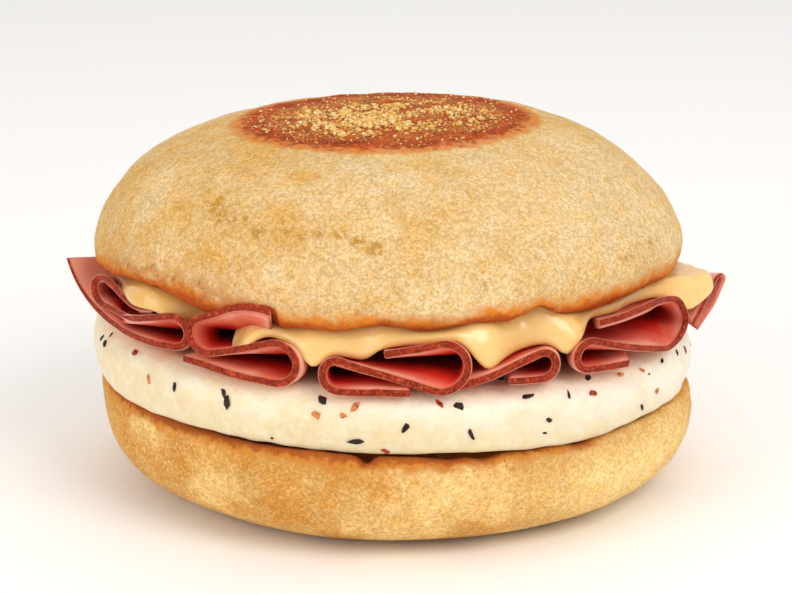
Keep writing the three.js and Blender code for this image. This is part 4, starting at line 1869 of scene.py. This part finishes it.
@dataclass
class MuffinTop:
    """Upper muffin half: high sides, a flat browned face on top and a wavy lower edge."""

    filling: HeightField
    lower_edge: LowerEdge
    centre: float = -1.3
    height: float = 60.2
    face_radius: float = 24.3
    lean: float = 0.02
    side: tuple[tuple[float, float], ...] = (
        (24.6, 59.2), (29.5, 58.0), (34.7, 56.1), (38.9, 53.8), (42.0, 51.3), (44.5, 48.3),
        (46.7, 44.9), (48.1, 41.0), (48.1, 39.0), (47.7, 37.6), (46.9, 36.7), (45.8, 36.3),
    )
    steps: int = 440
    seed: float = 21.4
    dents: tuple[Dent, ...] = (
        Dent(-39.0, 52.6, 1.0, 1.8, 0.55), Dent(-36.0, 51.0, 1.6, 1.0, 0.5),
        Dent(-33.0, 50.9, 1.8, 0.8, 0.4), Dent(-30.0, 51.3, 1.4, 0.7, 0.4),
        Dent(-26.0, 49.7, 1.6, 0.9, 0.55), Dent(-19.6, 50.2, 1.4, 0.7, 0.4),
        Dent(-16.5, 49.9, 1.6, 0.8, 0.45), Dent(-13.0, 50.3, 1.6, 0.8, 0.4),
        Dent(-9.0, 50.2, 1.8, 0.8, 0.45), Dent(-5.3, 49.3, 1.6, 0.9, 0.55),
        Dent(-2.0, 48.5, 1.7, 1.0, 0.6), Dent(1.5, 49.7, 1.5, 0.6, 0.3),
        Dent(8.6, 51.1, 3.0, 0.6, 0.25), Dent(-33.6, 56.5, 0.9, 1.6, 0.3),
        Dent(52.0, 43.3, 2.5, 0.8, 0.3), Dent(57.0, 44.1, 2.5, 0.7, 0.35),
        Dent(62.0, 43.6, 2.5, 0.8, 0.3), Dent(17.8, 44.0, 0.8, 3.5, 0.3),
        Dent(120.0, 50.0, 2.0, 1.0, 0.5), Dent(126.0, 49.2, 2.5, 0.8, 0.5),
        Dent(165.0, 46.0, 2.0, 1.2, 0.5), Dent(-120.0, 51.0, 2.5, 0.9, 0.5),
        Dent(-150.0, 48.0, 1.6, 1.4, 0.5),
    )
    tree: BVHTree | None = None

    def build(self) -> Mesh:
        """The half as a closed mesh with the numbers its finish reads.

        Returns:
            The mesh.
        """
        low = self.lower_edge.height
        outline = [(0.0, low - 0.4), (22.0, low - 0.4), (34.0, low - 0.3), (38.0, low - 0.3)]
        wall = [(41.5, low - 0.3), (44.0, low - 0.25), *reversed(self.side), (21.5, self.height - 0.5)]
        outline += smooth_line(wall, 0.45)
        outline += [(r, self.height - 0.5 * (r / 21.5) ** 2) for r in np.linspace(20.6, 0.0, 24)]
        bm = turned(outline, self.steps)
        spots = spots_of(bm)
        under = [spot.height < low - 0.2 and spot.radius < 44.5 for spot in spots]
        paint(bm, spots, "edge", self._above_edge)
        # Painted light: the upper right, where the key light falls, is painted paler.
        paint(bm, spots, "pale", lambda spot: 0.7 * bump(spot.degrees, 50, 34) * bump(spot.height, 50, 9))
        paint(bm, spots, "face", lambda spot: spot.radius - self.face_radius if spot.height > 50 else 30.0)
        paint(bm, spots, "toast", self._toast)
        pits = [self._pit(spot) for spot in spots]
        layer = bm.verts.layers.float.new("pits")
        for vert, spot, pit in zip(bm.verts, spots, pits):
            vert[layer] = pit
            vert.co = self._shape(vert.co.copy(), pit, under[vert.index])
        for face in bm.faces:
            face.material_index = 1 if all(under[v.index] for v in face.verts) else 0
        self.tree = BVHTree.FromBMesh(bm)
        return bm

    def _above_edge(self, spot: Spot) -> float:
        """Height above the lower edge, with slow changes round the muffin.

        Args:
            spot: A place of the turned body.

        Returns:
            The height.
        """
        round_place = Vector((math.cos(spot.angle), math.sin(spot.angle), 0))
        browner = 1.6 * bump(spot.degrees, -47, 20)
        slow = 1.1 * lumps(round_place, 0.2, self.seed)
        return spot.height - self.lower_edge.height - 0.5 + slow - browner

    def _toast(self, spot: Spot) -> float:
        """How much darker the lower edge is baked at a place.

        Args:
            spot: A place of the turned body.

        Returns:
            0 to 1.
        """
        turn, height = spot.degrees, spot.height - self.lower_edge.height
        left = 1.9 * bump(turn, -48, 20) * bump(height, 2.4, 4.0)
        bulge = 0.7 * bump(turn, 8, 7) * bump(height, 0.5, 2.0)
        right = 0.5 * bump(turn, 62, 12) * bump(height, 1.5, 2.0)
        rear = 0.6 * bump(abs(turn), 140, 30) * bump(height, 1.5, 3.0)
        return min(left + bulge + right + rear, 1.0)

    def _pit(self, spot: Spot) -> float:
        """How deep in a dent a place is, from 0 to 1.

        Args:
            spot: A place of the turned body.

        Returns:
            The depth's share.
        """
        near = [d for d in self.dents if abs(spot.height - d.height) < 3 * d.tall]
        return max(
            (d.depth / 0.6 * bump(spot.degrees, d.angle, d.width) * bump(spot.height, d.height, d.tall)
             for d in near),
            default=0.0,
        )

    def _shape(self, v: Vector, pit: float, under: bool) -> Vector:
        """Moves a place of the turned body to where it lies in the uneven half.

        Args:
            v: A place of the turned body.
            pit: How deep in a dent it is.
            under: Whether it faces the filling.

        Returns:
            Where it lies.
        """
        turn = math.atan2(v.y, v.x)
        radius = math.hypot(v.x, v.y)
        low = clamp((44 - v.z) / (44 - self.lower_edge.height))
        swell = 1 + 0.005 * math.sin(2 * turn + 0.8) + 0.004 * math.sin(5 * turn + 2.2)
        swell -= 0.024 * bump(v.z, 54.5, 4.5) * max(math.cos(turn), 0) ** 2
        skin = uneven(v, self.seed, ((0.5, 14.0), (0.22, 5.5), (0.09, 1.7)))
        inside = clamp((self.face_radius - 1 - radius) / 2)
        out = (skin * clamp((radius - 25) / 8) - 0.6 * pit * (1 + 0.6 * lumps(v, 0.9, self.seed))) / 48
        x = v.x * swell * (1 + out) + self.centre - 0.4 * clamp((v.z - 42) / 8)
        y = v.y * swell * (1 + out)
        ripple = self.lower_edge.at(x, y) - self.lower_edge.height + 0.35 * lumps(v, 2.2, self.seed + 3)
        tilt = clamp((v.z - 50) / 10) * self.lean * (x - 12)
        z = v.z + low**2 * bump(radius, 46.8, 4) * ripple + tilt
        if v.z > 55:
            z += 0.22 * lumps(v, 4.0, self.seed + 7) + inside * 0.12 * lumps(v, 1.3, self.seed + 8)
        if under or v.z < 41:
            z = max(z, self.filling.at(x, y) + REST_GAP)
        return Vector((x, y, z))

    def dress(self, skin: bpy.types.Material, crumb: bpy.types.Material) -> None:
        """Makes the half a piece."""
        finish_piece(self.build(), "muffin_top_half", (skin, crumb), "muffin", ("muffin_top",))


@dataclass
class Filling:
    """Heights of the layers on the egg, which the cheese and the upper half lie on."""

    ham: HamStack
    lower_edge: LowerEdge
    sample_step: float = 0.35
    # The cheese's underside stays this far above the egg and this far below the muffin's edge.
    least_rise: float = 2.8
    least_drop: float = 1.9
    # How the cheese sags across the folds (axis 1) and along them (axis 0): sag, reach and axis.
    sags: tuple[tuple[float, float, int], ...] = ((0.45, 3.0, 1), (0.25, 2.5, 0))
    # The same for the muffin, which hardly gives way.
    muffin_sags: tuple[tuple[float, float, int], ...] = ((0.8, 1.0, 0), (0.8, 1.0, 1))
    bed: np.ndarray = field(init=False)
    ham_top: HeightField = field(init=False)

    def __post_init__(self) -> None:
        """Works out the top of the egg and how high the ham lies on it."""
        lines = HeightField.axis()
        slope = self.ham.cut.bed_height + CUT_SLOPE * lines[None, :]
        self.bed = np.broadcast_to(slope, (len(lines), len(lines))).copy()
        places = np.concatenate([piece.samples(self.sample_step) for piece in self.ham.slices])
        self.ham_top = HeightField.over(places, self.bed)

    def under_cheese(self) -> HeightField:
        """Underside of the cheese, draped over the ham.

        Returns:
            The heights.
        """
        highest = self.lower_edge.height - self.least_drop
        lie = HeightField(np.clip(self.ham_top.grid, self.bed + self.least_rise, highest))
        for sag, reach, axis in self.sags:
            lie = lie.draped(sag, reach, axis)
        return lie.smoothed(2).raised(REST_GAP)

    def under_muffin(self, cheese: CheeseSlice) -> HeightField:
        """What the upper half must stay above.

        Args:
            cheese: The slice on the ham.

        Returns:
            The higher one of cheese and ham.
        """
        lines = HeightField.axis()
        under = np.hypot(lines[None, :], lines[:, None]) < cheese.rim_radius - 1
        cheese_top = np.where(under, cheese.bed.grid + cheese.thickness, -np.inf)
        lie = HeightField(np.maximum(cheese_top, self.ham_top.grid))
        for sag, reach, axis in self.muffin_sags:
            lie = lie.draped(sag, reach, axis)
        return lie


# ---- scattered pieces


class Pepper(Enum):
    """Kinds of cracked pepper."""

    BLACK = "pepper_black"
    RED = "pepper_red"
    TAN = "pepper_tan"


PEPPER_FINISHES = {
    Pepper.BLACK: FleckFinish("Pepper_black", Tint(46, 32, 24), Tint(20, 12, 10), Tint(112, 80, 62)),
    Pepper.RED: FleckFinish("Pepper_red", Tint(172, 60, 26), Tint(116, 30, 14), Tint(220, 122, 66)),
    Pepper.TAN: FleckFinish("Pepper_tan", Tint(212, 132, 72), Tint(164, 84, 40), Tint(238, 188, 136)),
}


@dataclass(frozen=True)
class Fleck:
    """A fleck of pepper seen in the photo: its pixel, its length and width in mm and its turn."""

    pixel_x: float
    pixel_y: float
    length: float
    width: float
    turn: float
    kind: Pepper = Pepper.BLACK


SEEN_FLECKS = (
    Fleck(102, 338, 1.5, 0.9, -60), Fleck(105, 344, 1.7, 1.2, 20), Fleck(111, 335, 1.3, 0.5, 45),
    Fleck(135, 353, 1.4, 1.1, 10, Pepper.RED), Fleck(149, 380, 1.7, 0.7, 60, Pepper.TAN),
    Fleck(175, 387, 1.4, 0.8, 80), Fleck(224, 393, 1.5, 0.8, 60), Fleck(227, 402, 1.9, 1.1, 80),
    Fleck(272, 438, 0.5, 0.4, 0), Fleck(323, 400, 1.8, 1.2, 25), Fleck(356, 442, 2.3, 1.0, -5),
    Fleck(316, 415, 1.6, 1.1, 40, Pepper.TAN), Fleck(344, 416, 1.1, 0.9, 0, Pepper.TAN),
    Fleck(355, 407, 1.7, 1.0, -50, Pepper.TAN), Fleck(386, 451, 1.6, 0.7, 35, Pepper.RED),
    Fleck(405, 428, 2.0, 1.0, -65), Fleck(440, 404, 1.8, 0.7, 50, Pepper.RED),
    Fleck(459, 406, 1.7, 1.3, 30), Fleck(471, 434, 2.0, 0.8, 62), Fleck(500, 379, 1.3, 0.8, 20),
    Fleck(528, 396, 1.9, 1.2, -10), Fleck(549, 420, 1.1, 0.8, 20), Fleck(545, 433, 0.9, 0.4, 10),
    Fleck(569, 395, 1.9, 0.5, -80), Fleck(588, 378, 1.6, 1.0, -30),
    Fleck(593, 393, 1.6, 1.4, 15, Pepper.RED), Fleck(620, 375, 1.2, 1.0, 0, Pepper.TAN),
    Fleck(642, 370, 1.2, 0.9, 30, Pepper.TAN), Fleck(649, 374, 0.5, 0.4, 0),
    Fleck(642, 407, 1.7, 0.7, 60), Fleck(657, 391, 1.2, 1.1, 10, Pepper.TAN),
    Fleck(662, 361, 1.6, 0.6, -20), Fleck(677, 353, 1.4, 0.6, -35),
    Fleck(685, 350, 1.5, 0.7, -60, Pepper.RED),
)


@dataclass
class Scatter:
    """Small flakes laid on a surface, joined into one piece of each kind."""

    rng: random.Random

    def flake(self, bm: Mesh, place: Vector, normal: Vector, spin: float,
              size: tuple[float, float, float]) -> None:
        """Adds one angular flake.

        Args:
            bm: The mesh it joins.
            place: Its middle.
            normal: The way it faces.
            spin: Its turn round that way.
            size: Length, width and thickness.
        """
        made = bmesh.ops.create_icosphere(bm, subdivisions=1, radius=0.5)["verts"]
        start = Vector([self.rng.uniform(0, 50) for _ in range(3)])
        for vert in made:
            vert.co *= 1 + 0.8 * noise.noise(vert.co * 2.2 + start)
        across = normal.cross(Vector((0, 0, 1)))
        across = across.normalized() if across.length > 1e-3 else Vector((1, 0, 0))
        frame = Matrix((across, normal.cross(across), normal)).transposed().to_4x4()
        turn = Matrix.Translation(place) @ frame @ Matrix.Rotation(spin, 4, "Z") @ Matrix.Diagonal((*size, 1))
        bmesh.ops.transform(bm, matrix=turn, verts=made)

    @staticmethod
    def join(whole: Mesh, part: Mesh) -> None:
        """Adds a small mesh to the whole and frees it.

        Args:
            whole: The mesh that grows.
            part: What it takes in.
        """
        mesh = bpy.data.meshes.new("joined_part")
        part.to_mesh(mesh)
        part.free()
        whole.from_mesh(mesh)
        bpy.data.meshes.remove(mesh)


class PepperScatter(Scatter):
    """Cracked pepper on the egg: the flecks seen in front, and more round the sides and back."""

    unseen_flecks: int = 38

    def build(self, egg: BVHTree, studio: "Studio") -> dict[Pepper, Mesh]:
        """The flecks of each kind.

        Args:
            egg: Surface of the egg, in millimetres.
            studio: Camera that turns a pixel into a direction.

        Returns:
            One mesh for each kind.
        """
        meshes = {kind: bmesh.new() for kind in Pepper}
        for fleck in SEEN_FLECKS:
            start, way = studio.ray(fleck.pixel_x, fleck.pixel_y)
            place, normal, _, _ = egg.ray_cast(start, way)
            if place is None:
                log.info("a fleck at %g, %g misses the egg", fleck.pixel_x, fleck.pixel_y)
                continue
            spin = math.radians(180 - fleck.turn)
            self._lay(meshes[fleck.kind], place, normal, spin, fleck.length, fleck.width)
        for _ in range(self.unseen_flecks):
            angle = math.radians(self.rng.uniform(-4, 184))
            start = Vector((math.cos(angle) * 80, math.sin(angle) * 80, self.rng.uniform(19.5, 25.5)))
            place, normal, _, _ = egg.ray_cast(start, Vector((-math.cos(angle), -math.sin(angle), 0)))
            kind = self.rng.choices(list(Pepper), (0.62, 0.2, 0.18))[0]
            length = self.rng.uniform(0.7, 2.0)
            self._lay(meshes[kind], place, normal, self.rng.uniform(0, math.tau), length,
                      length * self.rng.uniform(0.4, 0.8))
        return meshes

    def _lay(self, bm: Mesh, place: Vector, normal: Vector, spin: float,
             length: float, width: float) -> None:
        """Presses one fleck a little into the egg."""
        thick = 0.5 * min(width, 0.8)
        self.flake(bm, place + normal * 0.15 * thick, normal, spin, (length * 1.1, width, thick))

    def dress(self, egg: BVHTree, studio: "Studio", effects: SharedEffects) -> None:
        """Makes each kind a piece."""
        for kind, bm in self.build(egg, studio).items():
            finish_piece(bm, kind.value, (PEPPER_FINISHES[kind].make(effects),), "pepper", faceted=True)


class CornmealScatter(Scatter):
    """Coarse meal on the muffin's browned face, with a few grains on its shoulder."""

    grains: int = 2300
    batch: int = 100
    face_radius: float = 22.5
    # Where the middle of the sown patch lies, left of the axis.
    middle_x: float = -1.7
    # Sizes in the middle and outside it, with their shares.
    coarse: tuple[float, ...] = (0.26, 0.42, 0.7, 1.1)
    fine: tuple[float, ...] = (0.24, 0.34, 0.42, 0.5)
    shares: tuple[float, ...] = (0.38, 0.33, 0.21, 0.08)

    def build(self, top: BVHTree) -> Mesh:
        """The grains as one mesh.

        Args:
            top: Surface of the upper half.

        Returns:
            The mesh.
        """
        bm = bmesh.new()
        for _ in range(self.grains // self.batch):
            self.join(bm, self._batch(top))
        return bm

    def _batch(self, top: BVHTree) -> Mesh:
        """Some of the grains, thicker sown in loose clusters towards the middle.

        Args:
            top: Surface of the upper half.

        Returns:
            Their mesh.
        """
        bm = bmesh.new()
        laid = 0
        while laid < self.batch:
            radius = self.face_radius * math.sqrt(self.rng.random())
            angle = self.rng.uniform(0, math.tau)
            x, y = radius * math.cos(angle) + self.middle_x, radius * math.sin(angle)
            cluster = 0.35 + 1.3 * noise.noise(Vector((x / 5.0, y / 5.0, 2.2)))
            keep = 0.02 + clamp(cluster) * bump(math.hypot(x - self.middle_x, 1.2 * (y + 2.0)), 0, 15)
            if self.rng.random() > keep:
                continue
            place, normal, _, _ = top.ray_cast(Vector((x, y, 80.0)), Vector((0, 0, -1)))
            sizes = self.coarse if radius < 17 and y < 9 else self.fine
            size = self.rng.choices(sizes, self.shares)[0]
            self._lay(bm, place, normal, size * self.rng.uniform(0.8, 1.25))
            laid += 1
        return bm

    def _lay(self, bm: Mesh, place: Vector, normal: Vector, size: float) -> None:
        """Adds a grain that sits a little in the skin."""
        shape = (size, size * self.rng.uniform(0.65, 1.0), size * self.rng.uniform(0.5, 0.8))
        self.flake(bm, place + normal * 0.18 * shape[2], normal, self.rng.uniform(0, math.tau), shape)

    def dress(self, top: BVHTree, effects: SharedEffects) -> None:
        """Makes the grains a piece."""
        finish = FleckFinish("Cornmeal", Tint(216, 160, 56), Tint(232, 204, 142), Tint(246, 226, 196), 0.6)
        finish_piece(self.build(top), "cornmeal", (finish.make(effects),), "cornmeal", faceted=True)


# ---- studio


@dataclass(frozen=True)
class Lamp:
    """A square soft light: its place and size in metres, its power and its colour."""

    name: str
    place: tuple[float, float, float]
    size: float
    watts: float
    tint: Tint = Tint(255, 252, 248)


@dataclass
class Studio:
    """Pale floor, soft lights and the camera at the photo's viewing angle."""

    lamps: tuple[Lamp, ...] = (
        Lamp("key_light", (0.36, -0.44, 0.50), 0.4, 2.3, Tint(255, 250, 242)),
        Lamp("fill_light", (-0.55, -0.45, 0.26), 0.5, 1.75),
        Lamp("top_light", (0.05, 0.25, 0.62), 0.5, 0.5),
    )
    surrounding_light: float = 0.75
    floor_half_width: float = 6.0
    elevation: float = math.radians(15.5)
    distance: float = 0.4
    target_height: float = 0.02895
    focal_px: float = 2394.0
    sensor_width: float = 36.0

    def view(self) -> tuple[Vector, Vector, Vector, Vector]:
        """Camera place, and its forward, right and up directions.

        Returns:
            The place in metres and three unit directions.
        """
        forward = Vector((0, math.cos(self.elevation), -math.sin(self.elevation)))
        right = Vector((1, 0, 0))
        place = Vector((0, 0, self.target_height)) - forward * self.distance
        return place, forward, right, right.cross(forward)

    def ray(self, pixel_x: float, pixel_y: float) -> tuple[Vector, Vector]:
        """Start in millimetres and direction of the line of sight through a pixel.

        Args:
            pixel_x: Pixels from the left.
            pixel_y: Pixels from the top.

        Returns:
            The start and a unit direction.
        """
        place, forward, right, up = self.view()
        across, rise = pixel_x - IMAGE_WIDTH_PX / 2, IMAGE_HEIGHT_PX / 2 - pixel_y
        way = forward * self.focal_px + right * across + up * rise
        return place / MM, way.normalized()

    def build(self, effects: SharedEffects) -> None:
        """Makes the floor, the lights, the camera and the surrounding light.

        Args:
            effects: Shared node groups.
        """
        self._floor(effects)
        self._camera()
        for lamp in self.lamps:
            self._lamp(lamp)
        world = bpy.data.worlds.new("Soft_white")
        world.use_nodes = True
        background = next(n for n in world.node_tree.nodes if n.type == "BACKGROUND")
        background.inputs["Color"].default_value = Tint(255, 253, 250).linear()
        background.inputs["Strength"].default_value = self.surrounding_light
        bpy.context.scene.world = world
        bpy.context.scene.view_settings.view_transform = "Standard"

    def _floor(self, effects: SharedEffects) -> None:
        """Makes a wide floor under the sandwich.

        Args:
            effects: Shared node groups.
        """
        bm = bmesh.new()
        bmesh.ops.create_grid(bm, x_segments=8, y_segments=8, size=self.floor_half_width)
        mesh = bpy.data.meshes.new("floor")
        bm.to_mesh(mesh)
        bm.free()
        mesh.materials.append(FloorFinish().make(effects))
        floor = bpy.data.objects.new("floor", mesh)
        bpy.context.scene.collection.objects.link(floor)

    def _camera(self) -> None:
        """Makes the camera."""
        data = bpy.data.cameras.new("photo_camera")
        data.sensor_width = self.sensor_width
        data.lens = self.focal_px / IMAGE_WIDTH_PX * self.sensor_width
        data.clip_start = 0.01
        camera = bpy.data.objects.new("photo_camera", data)
        camera.location = self.view()[0]
        camera.rotation_euler = (math.pi / 2 - self.elevation, 0, 0)
        bpy.context.scene.collection.objects.link(camera)
        bpy.context.scene.camera = camera

    @staticmethod
    def _lamp(lamp: Lamp) -> None:
        """Adds a square soft light that faces the sandwich.

        Args:
            lamp: The light.
        """
        data = bpy.data.lights.new(lamp.name, "AREA")
        data.shape = "SQUARE"
        data.size = lamp.size
        data.energy = lamp.watts
        data.color = lamp.tint.linear()[:3]
        made = bpy.data.objects.new(lamp.name, data)
        made.location = lamp.place
        aim = Vector((0, 0, 0.03)) - Vector(lamp.place)
        made.rotation_euler = aim.to_track_quat("-Z", "Y").to_euler()
        bpy.context.scene.collection.objects.link(made)


# ---- the sandwich


TOP_SKIN = MuffinFinish(
    name="Muffin_top_skin", cream=Tint(213, 185, 138), golden=Tint(211, 169, 94),
    flour_and_lit_pale=Tint(225, 203, 164), edge_gold=Tint(216, 130, 40), edge_brown=Tint(176, 76, 22),
    gold_reach=4.5, brown_reach=1.9,
)
HEEL_SKIN = MuffinFinish(
    name="Muffin_heel_skin", cream=Tint(211, 167, 99), golden=Tint(203, 139, 57),
    flour_and_lit_pale=Tint(248, 220, 158), edge_gold=Tint(206, 136, 54), edge_brown=Tint(164, 84, 32),
    meal_gold=Tint(216, 158, 54), gold_share=0.45, gold_reach=3.0, brown_reach=0.9,
)


def main() -> None:
    """Loads the frame and builds the sandwich in it."""
    logging.basicConfig(level=logging.INFO, format="%(message)s")
    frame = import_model()
    log.info("frame with %d CAD nodes", len(frame["nodes"]))
    effects = SharedEffects()
    studio = Studio()
    crumb = CrumbFinish().make(effects)

    ham = HamStack(HamCut())
    ham.dress(HamFinish().make(effects), RindFinish().make(effects))
    lower_edge = LowerEdge()
    filling = Filling(ham, lower_edge)
    cheese = CheeseSlice(filling.under_cheese(), lower_edge)
    cheese.dress(CheeseFinish().make(effects))
    top = MuffinTop(filling.under_muffin(cheese), lower_edge)
    top.dress(TOP_SKIN.make(effects), crumb)

    egg = EggPatty()
    egg.dress(EggFinish().make(effects))
    MuffinHeel().dress(HEEL_SKIN.make(effects), crumb)

    PepperScatter(random.Random(11)).dress(egg.tree, studio, effects)
    CornmealScatter(random.Random(7)).dress(top.tree, effects)

    studio.build(effects)


if __name__ == "__main__":
    main()
